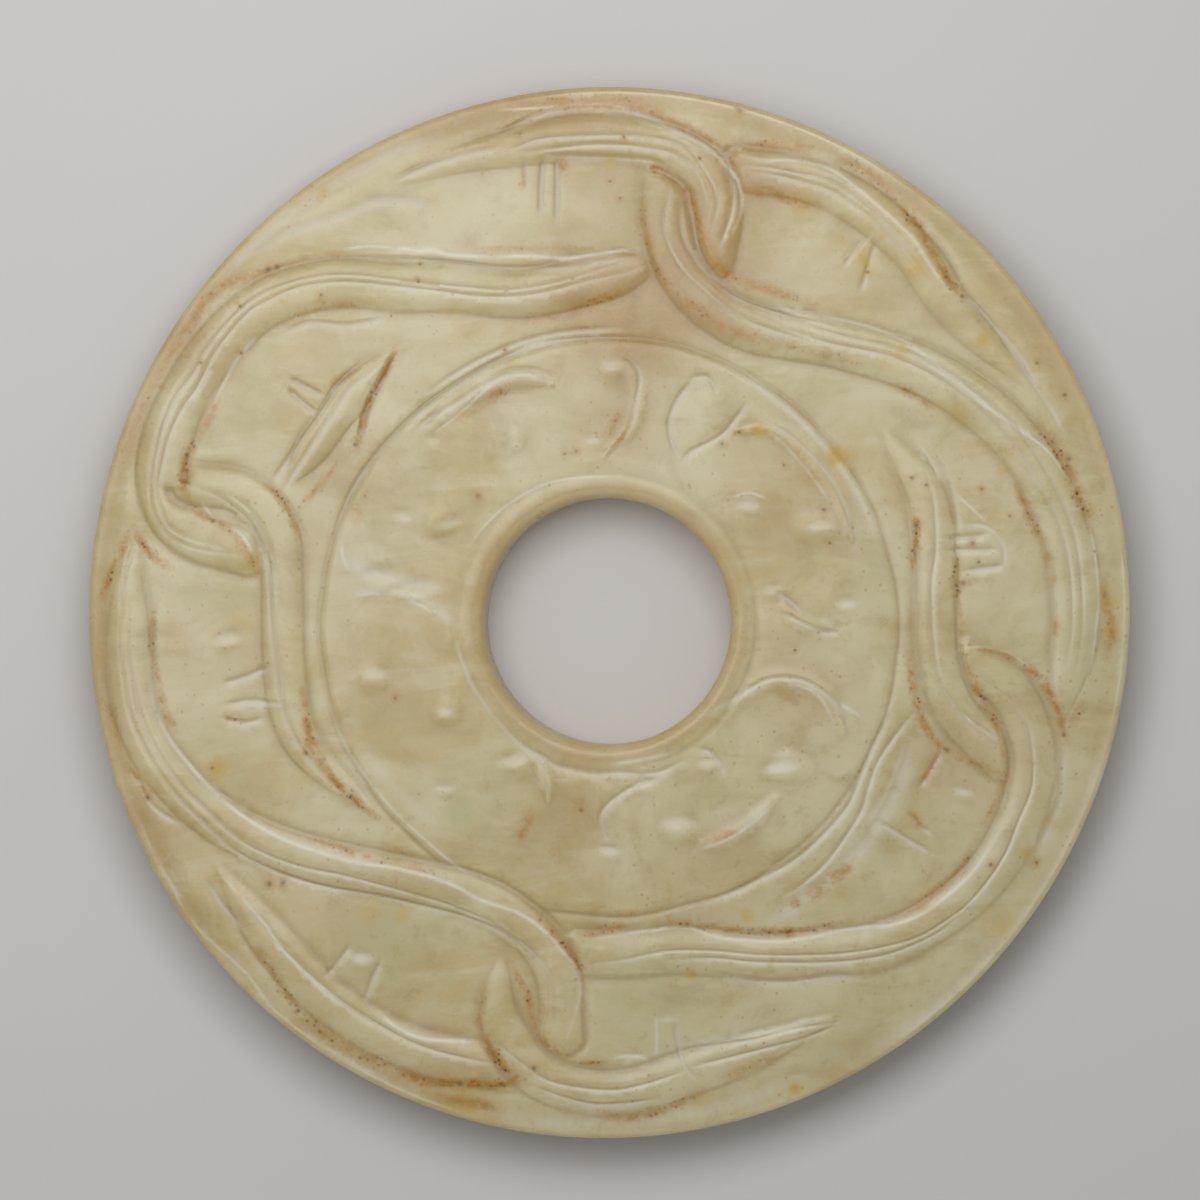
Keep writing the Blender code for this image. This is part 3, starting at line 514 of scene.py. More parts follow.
STAINS = [Stain(*row) for row in (
    # top
    (((511, 128), (526, 119), (545, 109), (575, 106), (640, 108), (665, 117), (700, 135), (722, 148),
      (737, 162), (745, 182), (743, 215), (728, 245)), 0.30, 0.5, 0.4),
    (((532, 104), (560, 100), (600, 99), (645, 101)), 0.35, 0.35, 0.5),
    (((563, 156), (564, 172)), 0.32, 0.8, 0.4),
    (((524, 168), (524, 188)), 0.22, 0.4, 0.1),
    (((650, 166), (662, 170), (668, 180)), 0.35, 0.6, 0.5),
    (((666, 175), (682, 188), (693, 204), (701, 227), (709, 249), (719, 266), (740, 280), (775, 291),
      (815, 303)), 0.32, 0.65, 0.5),
    (((645, 200), (642, 222), (650, 250), (655, 268), (676, 292), (700, 310), (722, 326), (745, 335),
      (775, 343)), 0.32, 0.55, 0.6),
    (((752, 146), (777, 144), (799, 147), (818, 152)), 0.32, 0.55, 0.6),
    (((835, 157), (859, 168), (878, 181), (898, 200)), 0.28, 0.5, 0.8),
    (((898, 200), (912, 217), (923, 235), (934, 255), (947, 278), (962, 298)), 0.32, 0.7, 1.0),
    (((752, 192), (772, 194), (790, 200), (806, 205), (820, 207)), 0.25, 0.6, 0.5),
    (((775, 343), (800, 348), (830, 356), (862, 364)), 0.22, 0.35, 0.6),
    (((898, 386), (915, 396), (932, 408)), 0.28, 0.6, 0.4),
    # left strap, outside and inside
    (((285, 265), (265, 271), (236, 281), (212, 292), (192, 320), (174, 348),
      (158, 376)), 0.38, 0.6, 0.35),
    (((158, 376), (144, 405), (132, 441), (127, 463)), 0.45, 0.3, 0.1),
    (((345, 254), (309, 258), (285, 264)), 0.2, 0.4, 0.4),
    (((526, 318), (560, 317), (582, 308), (601, 299), (637, 290)), 0.28, 0.55, 0.5),
    (((477, 250), (526, 248), (560, 248), (600, 250)), 0.25, 0.35, 0.3),
    (((280, 323), (300, 316), (319, 309), (345, 306), (362, 304)), 0.35, 0.35, 0.4),
    (((217, 400), (205, 425), (198, 438)), 0.28, 0.5, 0.2),
    (((198, 438), (190, 449), (186, 463), (183, 480), (186, 497)), 0.28, 0.8, 1.0),
    (((186, 497), (197, 511), (212, 520), (229, 529), (240, 543), (250, 558),
      (258, 577)), 0.26, 0.6, 0.6),
    (((265, 483), (280, 497), (292, 515), (299, 536)), 0.22, 0.65, 0.8),
    (((396, 350), (384, 373), (372, 395), (364, 415), (358, 443)), 0.24, 0.85, 0.8),
    (((357, 438), (357, 446)), 0.28, 1.0, 1.0),
    (((338, 462), (319, 487), (306, 500), (299, 509)), 0.22, 0.5, 0.6),
    (((353, 370), (340, 379), (328, 386)), 0.28, 0.45, 0.1),
    (((128, 535), (120, 553), (110, 575), (103, 597)), 0.24, 0.8, 1.0),
    (((134, 528), (142, 543), (155, 558), (168, 567)), 0.24, 0.8, 0.9),
    (((157, 600), (153, 615), (152, 640), (155, 668), (160, 690)), 0.2, 0.5, 0.7),
    (((160, 690), (165, 712), (178, 732)), 0.25, 0.5, 0.4),
    (((109, 705), (114, 722), (120, 745)), 0.22, 0.6, 0.3),
    (((302, 690), (305, 711), (309, 734), (316, 752), (328, 772), (343, 789), (358, 802),
      (377, 817)), 0.26, 0.85, 0.8),
    (((346, 793), (358, 802)), 0.28, 0.9, 1.0),
    (((300, 836), (331, 845), (367, 857), (395, 862), (425, 870), (447, 875)), 0.22, 0.6, 0.8),
    (((380, 845), (400, 851), (420, 860)), 0.22, 0.35, 0.2),
    (((223, 717), (243, 721)), 0.22, 0.4, 0.8),
    (((124, 768), (136, 777), (147, 797)), 0.2, 0.5, 0.5),
    # bottom
    (((255, 947), (269, 964), (280, 985), (289, 997), (298, 1011)), 0.25, 0.55, 0.7),
    (((298, 1011), (322, 1031), (345, 1048), (375, 1062), (397, 1070)), 0.4, 0.45, 0.6),
    (((397, 1070), (423, 1081), (459, 1084), (501, 1084), (522, 1081)), 0.3, 0.9, 0.8),
    (((440, 1099), (470, 1103), (500, 1108)), 0.35, 0.5, 0.1),
    (((482, 1036), (494, 1056), (506, 1070), (522, 1084)), 0.28, 0.75, 1.0),
    (((483, 996), (479, 1020), (483, 1034)), 0.2, 0.35, 0.6),
    (((510, 963), (519, 980), (528, 997), (531, 1018), (540, 1037), (555, 1051),
      (570, 1060)), 0.22, 0.6, 0.7),
    (((570, 1060), (590, 1064), (608, 1063)), 0.2, 0.5, 0.6),
    (((544, 921), (558, 939), (570, 953), (579, 968), (582, 979)), 0.25, 0.7, 0.9),
    (((585, 938), (600, 931), (628, 924)), 0.28, 0.7, 1.0),
    (((652, 924), (690, 926), (730, 930), (760, 931), (792, 933), (820, 928),
      (850, 922)), 0.22, 0.55, 0.8),
    (((783, 931), (795, 933)), 0.25, 0.8, 1.0),
    (((596, 1113), (625, 1119), (650, 1115), (675, 1106), (702, 1092)), 0.3, 0.4, 0.5),
    (((728, 1076), (755, 1065), (781, 1056)), 0.3, 0.3, 0.4),
    # right
    (((895, 915), (915, 907), (935, 892), (950, 880), (965, 862), (976, 840)), 0.22, 0.5, 0.6),
    (((985, 822), (995, 805), (1005, 780), (1006, 765), (1001, 740)), 0.2, 0.45, 0.5),
    (((964, 650), (970, 672), (977, 690), (987, 706), (996, 722), (1001, 740)), 0.26, 0.6, 0.8),
    (((909, 655), (912, 677), (916, 700), (925, 725), (935, 740), (949, 752)), 0.24, 0.75, 0.8),
    (((940, 753), (932, 768), (920, 785)), 0.24, 0.6, 0.4),
    (((950, 755), (970, 762), (992, 770), (1005, 776)), 0.16, 0.45, 0.5),
    (((917, 512), (916, 537), (914, 554), (912, 568)), 0.22, 0.7, 0.9),
    (((957, 560), (958, 583), (958, 600)), 0.22, 0.7, 1.0),
    (((958, 600), (961, 624), (963, 645)), 0.2, 0.45, 0.3),
    (((973, 652), (997, 652), (1020, 662)), 0.26, 0.5, 0.5),
    (((1020, 662), (1040, 680), (1057, 707), (1063, 730), (1066, 742)), 0.26, 0.7, 0.8),
    (((1084, 706), (1078, 715), (1070, 728)), 0.25, 0.5, 0.6),
    (((1016, 485), (1024, 503), (1032, 522), (1043, 543)), 0.26, 0.65, 0.8),
    (((1045, 553), (1050, 562)), 0.4, 0.5, 0.0),
    (((1053, 575), (1053, 583)), 0.3, 0.4, 0.0),
    (((1056, 618), (1055, 640)), 0.3, 0.5, 0.1),
    (((1040, 427), (1055, 443), (1066, 462), (1075, 485), (1085, 508), (1093, 530)), 0.42, 0.6, 0.9),
    (((1105, 575), (1106, 600), (1112, 630), (1106, 660)), 0.3, 0.5, 0.3),
    (((855, 862), (837, 875), (817, 892), (805, 903)), 0.3, 0.7, 0.3),
    (((790, 905), (800, 903)), 0.3, 0.7, 0.1),
    (((912, 814), (922, 828)), 0.28, 0.6, 0.3),
    (((970, 640), (968, 660)), 0.2, 0.3, 0.5),
    # ring
    (((508, 388), (496, 396), (487, 405)), 0.3, 0.7, 0.5),
    (((487, 405), (468, 414), (453, 422)), 0.25, 0.4, 0.2),
    (((621, 411), (614, 424), (609, 437)), 0.3, 0.5, 0.4),
    (((632, 416), (626, 433), (613, 446)), 0.25, 0.35, 0.1),
    (((789, 446), (805, 464), (815, 484)), 0.6, 0.3, 0.05),
    (((825, 508), (823, 520)), 0.3, 0.35, 0.3),
    (((530, 815), (524, 828), (520, 840)), 0.32, 0.65, 0.5),
    (((705, 841), (720, 836), (737, 830)), 0.22, 0.6, 0.5),
    (((776, 693), (790, 698), (800, 705)), 0.35, 0.35, 0.05),
    (((355, 505), (358, 520)), 0.5, 0.4, 0.0),
    (((590, 905), (620, 915), (655, 912)), 0.4, 0.3, 0.1),
)]

# Soft patches of each tint: centre and reach in pixels, and strength
PATCHES = {
    # Pale patches are partly paler clouds in the stone and partly painted sheen, as on the ring's left
    # and along the lower right of the rim.
    "pale": (
        (440, 205, 85, 0.7), (505, 215, 60, 0.6), (300, 215, 45, 0.5), (600, 200, 45, 0.5),
        (320, 345, 60, 0.6), (240, 420, 45, 0.5), (400, 330, 70, 0.5), (380, 400, 40, 0.4),
        (240, 640, 55, 0.3), (420, 520, 50, 0.35), (390, 580, 60, 0.5), (930, 320, 60, 0.6),
        (880, 400, 70, 0.7), (940, 440, 50, 0.5), (1010, 610, 60, 1.2), (1000, 560, 50, 0.5),
        (1045, 390, 40, 0.4), (830, 520, 30, 0.5), (640, 370, 50, 0.2), (820, 440, 40, 0.3),
        (1090, 780, 45, 0.8), (1060, 850, 50, 0.8), (1000, 940, 60, 0.8), (930, 1010, 60, 0.7),
        (820, 1080, 50, 0.4), (560, 1125, 60, 0.5), (250, 985, 35, 0.4), (700, 1000, 50, 0.2),
        (120, 620, 30, 0.2), (480, 860, 60, 0.2)),
    "tan": (
        (650, 300, 85, 0.9), (710, 210, 70, 0.8), (620, 320, 70, 0.5), (740, 300, 60, 0.6),
        (610, 145, 80, 0.6), (520, 115, 60, 0.6), (760, 160, 60, 0.5), (570, 300, 60, 0.4),
        (200, 350, 50, 0.6), (140, 450, 40, 0.5), (450, 130, 50, 0.5), (110, 700, 50, 0.4),
        (150, 830, 50, 0.4), (300, 560, 50, 0.3), (250, 650, 40, 0.3), (350, 480, 60, 0.3),
        (380, 660, 60, 0.3), (560, 820, 70, 0.35), (700, 900, 70, 0.3), (1000, 760, 60, 0.35),
        (930, 760, 50, 0.3), (800, 690, 60, 0.3), (790, 500, 70, 0.35), (620, 420, 60, 0.4),
        (350, 900, 60, 0.25), (450, 1060, 60, 0.3)),
    "green": (
        (230, 590, 50, 0.8), (220, 760, 60, 0.6), (400, 940, 70, 0.8), (480, 790, 60, 0.4),
        (650, 1000, 70, 0.5), (850, 1050, 60, 0.4), (900, 820, 50, 0.3), (460, 811, 18, 1.2),
        (1100, 650, 50, 0.5), (960, 240, 40, 0.5), (1060, 600, 30, 0.4), (870, 575, 30, 0.6),
        (700, 660, 60, 0.3), (400, 720, 60, 0.3)),
    "yellow": (
        (762, 430, 13, 1.0), (835, 456, 12, 1.1), (850, 455, 9, 1.0), (838, 245, 13, 0.6),
        (861, 250, 13, 0.8), (866, 266, 12, 0.6), (915, 268, 14, 0.7), (800, 205, 14, 0.6),
        (900, 352, 12, 0.6), (885, 362, 10, 0.6), (984, 340, 9, 0.9), (1003, 471, 9, 0.8),
        (960, 415, 14, 0.5), (940, 410, 12, 0.4), (1108, 600, 16, 0.6), (1112, 630, 14, 0.6),
        (1000, 925, 20, 0.5), (216, 768, 12, 0.9), (225, 776, 9, 0.7), (436, 206, 9, 0.4),
        (250, 565, 12, 0.5), (247, 620, 16, 0.4), (321, 192, 9, 0.8), (505, 150, 11, 0.7),
        (455, 315, 10, 0.6), (370, 910, 14, 0.6), (405, 915, 11, 0.6), (465, 1100, 22, 0.6),
        (747, 916, 8, 0.9), (795, 1090, 8, 1.0), (690, 974, 7, 0.6), (672, 983, 7, 0.4),
        (700, 1098, 14, 0.5), (240, 893, 8, 0.5), (1028, 853, 10, 0.7), (1050, 822, 8, 0.6),
        (611, 163, 8, 0.6), (925, 905, 14, 0.4)),
}

# Dark specks: centre and reach in pixels
SPECKS = ((740, 110, 3.2), (1065, 395, 2.8), (1037, 363, 2.5), (868, 272, 2.5), (478, 496, 4.0),
          (395, 698, 2.5), (795, 650, 2.2), (92, 655, 4.0), (269, 884, 4.5), (283, 883, 5.0),
          (298, 1011, 3.2), (320, 1032, 2.8), (332, 1041, 2.5), (360, 1058, 3.0), (147, 798, 3.5),
          (212, 768, 2.5), (505, 350, 2.5), (973, 543, 3.2), (963, 583, 3.8), (960, 592, 2.8),
          (917, 525, 4.5), (1069, 459, 4.0), (979, 562, 2.2), (581, 810, 3.0), (268, 269, 4.5),
          (277, 267, 3.5), (240, 306, 2.0), (201, 363, 2.0), (241, 353, 2.0), (321, 295, 2.2),
          (418, 282, 2.0), (420, 264, 2.0), (391, 316, 2.0), (148, 398, 2.0), (365, 496, 2.0),
          (576, 451, 2.0), (565, 454, 2.0), (722, 444, 2.4), (739, 432, 2.2), (824, 510, 3.0),
          (830, 543, 2.4), (784, 465, 2.2), (702, 565, 2.2), (712, 563, 2.2), (520, 134, 2.6),
          (624, 137, 2.2), (700, 158, 2.2), (610, 181, 2.0), (620, 198, 2.0), (540, 920, 2.4),
          (534, 1068, 3.0), (1000, 950, 2.4), (1037, 863, 2.2), (991, 865, 3.0), (1055, 935, 2.4),
          (926, 485, 2.4), (912, 478, 3.0), (1010, 516, 2.2), (982, 489, 2.0), (460, 1084, 4.0),
          (501, 1084, 4.0), (356, 445, 3.5), (187, 455, 3.8), (186, 470, 3.0), (185, 485, 2.6),
          (351, 797, 4.0), (306, 753, 3.0), (1064, 735, 3.0), (984, 699, 3.5), (947, 750, 3.5),
          (962, 296, 3.2), (946, 277, 3.0), (921, 226, 2.8), (788, 933, 3.6), (213, 521, 3.0))


def smooth(t):
    """An even step from 0 to 1 that starts and ends level."""
    t = np.clip(t, 0.0, 1.0)
    return t * t * (3.0 - 2.0 * t)


def pixels(count):
    """A length in the picture's pixels, in metres."""
    return count / PIXELS_PER_MM * MM


def from_plan(point):
    """A place in the carving's thousandths, in metres."""
    return np.array(point) * DISC_RADIUS / 1000


def from_picture(point):
    """A place in the picture's pixels, in metres."""
    x, y = point
    middle_x, middle_y = DISC_MIDDLE_PIXEL
    return np.array((pixels(x - middle_x), pixels(middle_y - y)))


def away_from(places, point):
    """How far each place is from one point."""
    return np.linalg.norm(places - point, axis=1)


def disc_edge(angle):
    """The outline's radius at an angle."""
    share = 1.0
    for lobes, amount, first in OUT_OF_ROUND:
        share = share + amount * np.cos(lobes * (angle - math.radians(first)))
    return DISC_RADIUS * share


def slope_width(angle):
    """How far the slope inside the edge reaches in, at an angle."""
    towards = np.clip(np.cos(angle - math.radians(WIDEST_SLOPE_AT)), 0.0, 1.0)
    return RIM_SLOPE_WIDTH + (RIM_WIDEST_SLOPE - RIM_SLOPE_WIDTH) * towards


def ring_centre():
    return np.array((0.0, -RING_BELOW_CENTRE))


def hole_centre(height):
    """The bore leans to the right as it goes down through the stone."""
    lean = BORE_LEAN * (0.5 - height / DISC_THICKNESS)
    return np.array((lean, -HOLE_BELOW_CENTRE))


def outside_hole(places):
    """How far each place on the front lies outside the bore."""
    return away_from(places, hole_centre(DISC_THICKNESS)) - HOLE_RADIUS


def inside_edge(places):
    """The angle of each place, and how far it lies inside the outline."""
    angles = np.arctan2(places[:, 1], places[:, 0])
    return angles, disc_edge(angles) - np.linalg.norm(places, axis=1)


def turned_points(radius, count, centre=(0.0, 0.0)):
    """Points round a circle, or round any outline whose radius is a function of the angle."""
    angles = np.arange(count) * (2 * math.pi / count)
    radii = radius(angles) if callable(radius) else np.full(count, radius)
    return np.column_stack((centre[0] + radii * np.cos(angles), centre[1] + radii * np.sin(angles)))


def smooth_path(knots, spacing):
    """A curve through a few places, read at even steps along its length."""
    knots = [2 * knots[0] - knots[1]] + list(knots) + [2 * knots[-1] - knots[-2]]
    curve = []
    for before, start, end, after in zip(knots, knots[1:], knots[2:], knots[3:]):
        for step in range(CURVE_STEPS):
            t = step / CURVE_STEPS
            bend = 2 * start + (end - before) * t
            bend = bend + (2 * before - 5 * start + 4 * end - after) * t ** 2
            bend = bend + (3 * start - before - 3 * end + after) * t ** 3
            curve.append(bend / 2)
    curve.append(knots[-2])
    curve = np.array(curve)
    along = np.concatenate(([0.0], np.cumsum(np.linalg.norm(np.diff(curve, axis=0), axis=1))))
    spans = max(FEWEST_SPANS, round(along[-1] / spacing))
    even = np.linspace(0.0, along[-1], spans + 1)
    return np.column_stack([np.interp(even, along, curve[:, axis]) for axis in (0, 1)])


def plan_path(points, spacing):
    return smooth_path([from_plan(point) for point in points], spacing)


def picture_paths(strokes, spacing):
    """The path of each stroke's course."""
    return [smooth_path([from_picture(point) for point in stroke.course], spacing)
            for stroke in strokes]


BAND_PATHS = {name: plan_path(band.points, PATH_SPACING) for name, band in BANDS.items()}
SCROLL_PATHS = [plan_path(scroll.points, PATH_SPACING) for scroll in SCROLLS]
CUTS = [Cut(course, *FINE_CUT) for course in FINE_LINES]
CUTS += [Cut(course, *SOFT_CUT) for course in SOFT_LINES]
CUTS += BOLD_CUTS
CUT_PATHS = picture_paths(CUTS, STROKE_SPACING)
GLEAM_PATHS = picture_paths(GLEAMS, STROKE_SPACING)
STAIN_PATHS = picture_paths(STAINS, PATH_SPACING)


def half_width(band, share, full_width):
    """Half of a band's width at a share of its length: a tapered end draws out to a point."""
    narrowing = np.ones_like(share)
    if band.taper_start:
        narrowing = np.minimum(narrowing, np.sqrt(smooth(share / band.taper_start)))
    if band.taper_end:
        narrowing = np.minimum(narrowing, np.sqrt(smooth((1.0 - share) / band.taper_end)))
    return full_width * band.width / 2 * (TIP_SHARE + (1.0 - TIP_SHARE) * narrowing)


def nearest_on_path(places, path, reach):
    """For places within reach of a path: which, how far, at what share, and if on its left."""
    low = path.min(axis=0) - reach
    high = path.max(axis=0) + reach
    near = np.nonzero(np.all((places > low) & (places < high), axis=1))[0]
    close = places[near]
    best = np.full(len(near), np.inf)
    share = np.zeros(len(near))
    left = np.zeros(len(near), dtype=bool)
    spans = len(path) - 1
    for index in range(spans):
        start = path[index]
        step = path[index + 1] - start
        away = close - start
        t = np.clip(away @ step / (step @ step), 0.0, 1.0)
        distance = np.linalg.norm(away - t[:, None] * step, axis=1)
        closer = distance < best
        best[closer] = distance[closer]
        share[closer] = (index + t[closer]) / spans
        left[closer] = (step[0] * away[:, 1] - step[1] * away[:, 0])[closer] > 0
    found = best < reach
    return near[found], best[found], share[found], left[found]


def lay_band(level, places, name, start, end):
    """Carve one band into the levels: a rounded ridge with a groove along each side."""
    band = BANDS[name]
    full = BAND_WIDTH * band.width / 2
    reach = full + 2 * GROOVE_WIDTH
    near, distance, share, left = nearest_on_path(places, BAND_PATHS[name], reach)
    half = half_width(band, share, BAND_WIDTH)
    fullness = half / full
    strength = np.where(left, band.left, band.right)
    bottom = FIELD_LEVEL - GROOVE_DEPTH * fullness * strength
    crown = FIELD_LEVEL + (BAND_HEIGHT - CROWN_MARGIN) * fullness
    across = distance / half
    fall = ROUND_SHARE * across ** 2 + (1.0 - ROUND_SHARE) * across ** 6
    ridge = crown - (crown - bottom) * fall
    blend = GROOVE_WIDTH * (WEAK_SPREAD - (WEAK_SPREAD - 1.0) * strength)
    beside = bottom + (level[near] - bottom) * smooth((distance - half) / blend)
    carved = np.where(across < 1.0, ridge, np.minimum(level[near], beside))
    here = (share >= start) & (share <= end) & (distance < half + blend)
    level[near[here]] = carved[here]


def raise_scroll(level, places, band, path):
    """A low ridge with soft sides inside the ring."""
    near, distance, share, _ = nearest_on_path(places, path, SCROLL_WIDTH)
    half = half_width(band, share, SCROLL_WIDTH)
    level[near] += SCROLL_HEIGHT * smooth(SCROLL_FLANK * (1.0 - distance / half))


def end_fade(share, least, rate):
    """A stroke's strength at a share of its length: full, but less near both ends."""
    return least + (1.0 - least) * smooth(share * rate) * smooth((1.0 - share) * rate)


def cut_profile(places, path, width):
    """Where a fine cut lies and how full it is there: it fades at both ends."""
    near, distance, share, _ = nearest_on_path(places, path, width)
    return near, end_fade(share, CUT_END, CUT_FADE) * smooth(1.0 - distance / width)


def waves(places, seed, length):
    """A slow, uneven waviness of about one in height, as a hand leaves it in its work."""
    random = np.random.default_rng(seed)
    total = np.zeros(len(places))
    for _ in range(WAVE_COUNT):
        turn = random.uniform(0, 2 * math.pi)
        own_length = length * random.uniform(*WAVE_SPREAD)
        phase = random.uniform(0, 2 * math.pi)
        along = places @ np.array((math.cos(turn), math.sin(turn)))
        total += np.sin(along * 2 * math.pi / own_length + phase)
    return total / math.sqrt(WAVE_COUNT / 2)


def drift(places):
    """How far a hand strays from its line at each place: about one unit each way."""
    return np.column_stack([waves(places, seed, WANDER_LENGTH) for seed in WANDER_SEEDS])


def facet_cover(places, facet):
    """How full a facet is at each place, and how far up the picture the place lies from it."""
    x, y, reach = facet
    offset = places + FACET_WANDER * drift(places) - from_picture((x, y))
    away = np.linalg.norm(offset * FACET_SHAPE, axis=1) / pixels(reach)
    return smooth(FACET_FLANK * (1.0 - away)), offset[:, 1]


def carve_ring(level, places):
    """The raised ring with its border groove, scrolls, bosses, facets and soft dents."""
    strayed = drift(places)
    drawn = places + WANDER * strayed
    from_ring = away_from(drawn, ring_centre())
    in_ring = smooth((RING_RADIUS - from_ring) / GROOVE_WIDTH)
    level += RING_RISE * in_ring
    from_groove = np.abs(from_ring - RING_RADIUS)
    level -= RING_GROOVE_DEPTH * smooth(1.0 - from_groove / RING_GROOVE_REACH)
    for scroll, path in zip(SCROLLS, SCROLL_PATHS):
        raise_scroll(level, drawn, scroll, path)
    for x, y, size in BOSSES:
        away = away_from(places + BOSS_WANDER * strayed, from_plan((x, y)))
        level += BOSS_HEIGHT * smooth(BOSS_FLANK * (1.0 - away / (size * BOSS_RADIUS)))
    for facet in FACETS:
        cover, up = facet_cover(places, facet)
        level -= FACET_TILT * up * cover
    level += RING_DENT_DEPTH * in_ring * waves(places, RING_DENT_SEED, RING_DENT_LENGTH)


def carve_bands(level, places):
    """The bands in the order in which they lie on each other, and soft dents over all."""
    drawn = places + WANDER * drift(places)
    for name, start, end in LAYERS:
        lay_band(level, drawn, name, start, end)
    level += FIELD_DENT_DEPTH * waves(places, FIELD_DENT_SEED, FIELD_DENT_LENGTH)


def carve_cuts(level, places):
    """The incised lines and the small gouges, over all the rest."""
    for cut, path in zip(CUTS, CUT_PATHS):
        near, fullness = cut_profile(places, path, cut.width * MM)
        level[near] -= cut.depth * MM * fullness


def with_collar(level, places):
    """The levels with the collar round the hole and the groove round the collar."""
    from_hole = outside_hole(places)
    top = FIELD_LEVEL + RING_RISE + COLLAR_RISE
    groove = FIELD_LEVEL + RING_RISE - COLLAR_GROOVE_DEPTH
    collar = top + (groove - top) * smooth((from_hole - COLLAR_WIDTH) / GROOVE_WIDTH + 1)
    beyond = groove + (level - groove) * smooth((from_hole - COLLAR_WIDTH) / GROOVE_WIDTH)
    return np.where(from_hole < COLLAR_WIDTH, collar, beyond)


def with_rim_slope(level, places):
    """The levels with the slope that falls to the rounded edge."""
    angles, inside = inside_edge(places)
    towards_edge = smooth(1.0 - (inside - EDGE_RADIUS) / slope_width(angles))
    return level + (FIELD_LEVEL - RIM_SLOPE_DROP - level) * towards_edge


def front_level(places):
    """The height of the carved face at each place in plan."""
    level = np.full(len(places), FIELD_LEVEL)
    carve_ring(level, places)
    carve_bands(level, places)
    carve_cuts(level, places)
    level = with_rim_slope(with_collar(level, places), places)
    return np.minimum(level, DISC_THICKNESS - TOP_MARGIN)


def back_circles():
    """The radius of each incised circle on the back, and its centre."""
    return ((DISC_RADIUS - EDGE_RADIUS - CIRCLE_MARGIN, np.zeros(2)),
            (HOLE_RADIUS + MOUTH_RADIUS + CIRCLE_MARGIN, hole_centre(0.0)))


def back_level(places):
    """The height of the flat back, which the disc rests on, and of the circles cut into it."""
    level = np.zeros(len(places))
    for radius, centre in back_circles():
        from_circle = np.abs(away_from(places, centre) - radius)
        level += CIRCLE_DEPTH * smooth(1.0 - 2 * from_circle / CIRCLE_WIDTH)
    return level


def across_path(path):
    """The sideways direction at each point of a path."""
    along = np.gradient(path, axis=0)
    along /= np.linalg.norm(along, axis=1)[:, None]
    return np.column_stack((-along[:, 1], along[:, 0]))


def stroke_rows(path, side):
    """A stroke's path and copies of it beside it, in steps of one side's width."""
    across = across_path(path)
    return np.concatenate([path + across * (row * side) for row in STROKE_ROWS])


def band_rows(name, start, end):
    """Rows of points along both edges of a band, where its grooves are sharpest."""
    band = BANDS[name]
    path = plan_path(band.points, FINE_SPACING)
    shares = np.linspace(0.0, 1.0, len(path))
    halves = half_width(band, shares, BAND_WIDTH)
    here = (shares >= start) & (shares <= end)
    across = across_path(path)
    return np.concatenate([(path + across * side * (halves + row * MM)[:, None])[here]
                           for row in BAND_ROWS for side in (1.0, -1.0)])


def circle_rows(radius, centre, rows, spacing, gap):
    """Groups of points round a carved circle and beside it."""
    count = round(2 * math.pi * radius / spacing)
    return [(turned_points(radius + row * MM, count, centre), gap) for row in rows]


def fill_points(spacing):
    """An even triangular grid over the whole disc."""
    row_step = spacing * math.sqrt(3) / 2
    rows = math.ceil(2 * DISC_RADIUS / row_step) + 1
    columns = math.ceil(2 * DISC_RADIUS / spacing) + 1
    row, column = np.meshgrid(np.arange(rows), np.arange(columns), indexing="ij")
    x = -DISC_RADIUS + (column + 0.5 * (row % 2)) * spacing
    y = -DISC_RADIUS + row * row_step
    return np.column_stack((x.ravel(), y.ravel()))


def front_groups():
    """The front's points with the least gap of each group, the finest along the cuts first."""
    groups = []
    for x, y, reach in SPECKS:
        middle = from_picture((x, y))
        groups.append((np.array([middle]), SPECK_GAP))
        for share, count in SPECK_CIRCLES:
            groups.append((turned_points(share * pixels(reach), count, middle), SPECK_GAP))
    for cut, path in zip(CUTS, CUT_PATHS):
        groups.append((stroke_rows(path, CUT_ROW_SHARE * cut.width * MM), CUT_GAP))
    for gleam, path in zip(GLEAMS, GLEAM_PATHS):
        groups.append((stroke_rows(path, GLEAM_ROW_SHARE * gleam.width * MM), GLEAM_GAP))
    for layer in reversed(LAYERS):
        groups.append((band_rows(*layer), BAND_GAP))
    groups += circle_rows(RING_RADIUS, ring_centre(), RING_ROWS, CIRCLE_SPACING, RING_GAP)
    groups += circle_rows(HOLE_RADIUS + COLLAR_WIDTH, hole_centre(DISC_THICKNESS), COLLAR_ROWS,
                          CIRCLE_SPACING, CIRCLE_GAP)
    groups.append((fill_points(FILL_SPACING), FILL_GAP))
    return groups


def back_groups():
    """The back's points in the same way: finer along the incised circles."""
    groups = []
    for radius, centre in back_circles():
        groups += circle_rows(radius, centre, BACK_ROWS, BACK_CIRCLE_SPACING, CIRCLE_GAP)
    groups.append((fill_points(BACK_SPACING), BACK_GAP))
    return groups


def thinned(groups, cell):
    """The groups' points in turn, without each that lies too close to one already taken."""
    taken = []
    cells = {}
    for points, gap in groups:
        keys = np.floor(points / cell).astype(int).tolist()
        for (x, y), (column, row) in zip(points.tolist(), keys):
            around = [other for a in (-1, 0, 1) for b in (-1, 0, 1)
                      for other in cells.get((column + a, row + b), ())]
            if any((x - other[0]) ** 2 + (y - other[1]) ** 2 < gap * gap for other in around):
                continue
            cells.setdefault((column, row), []).append((x, y))
            taken.append((x, y))
    return np.array(taken)


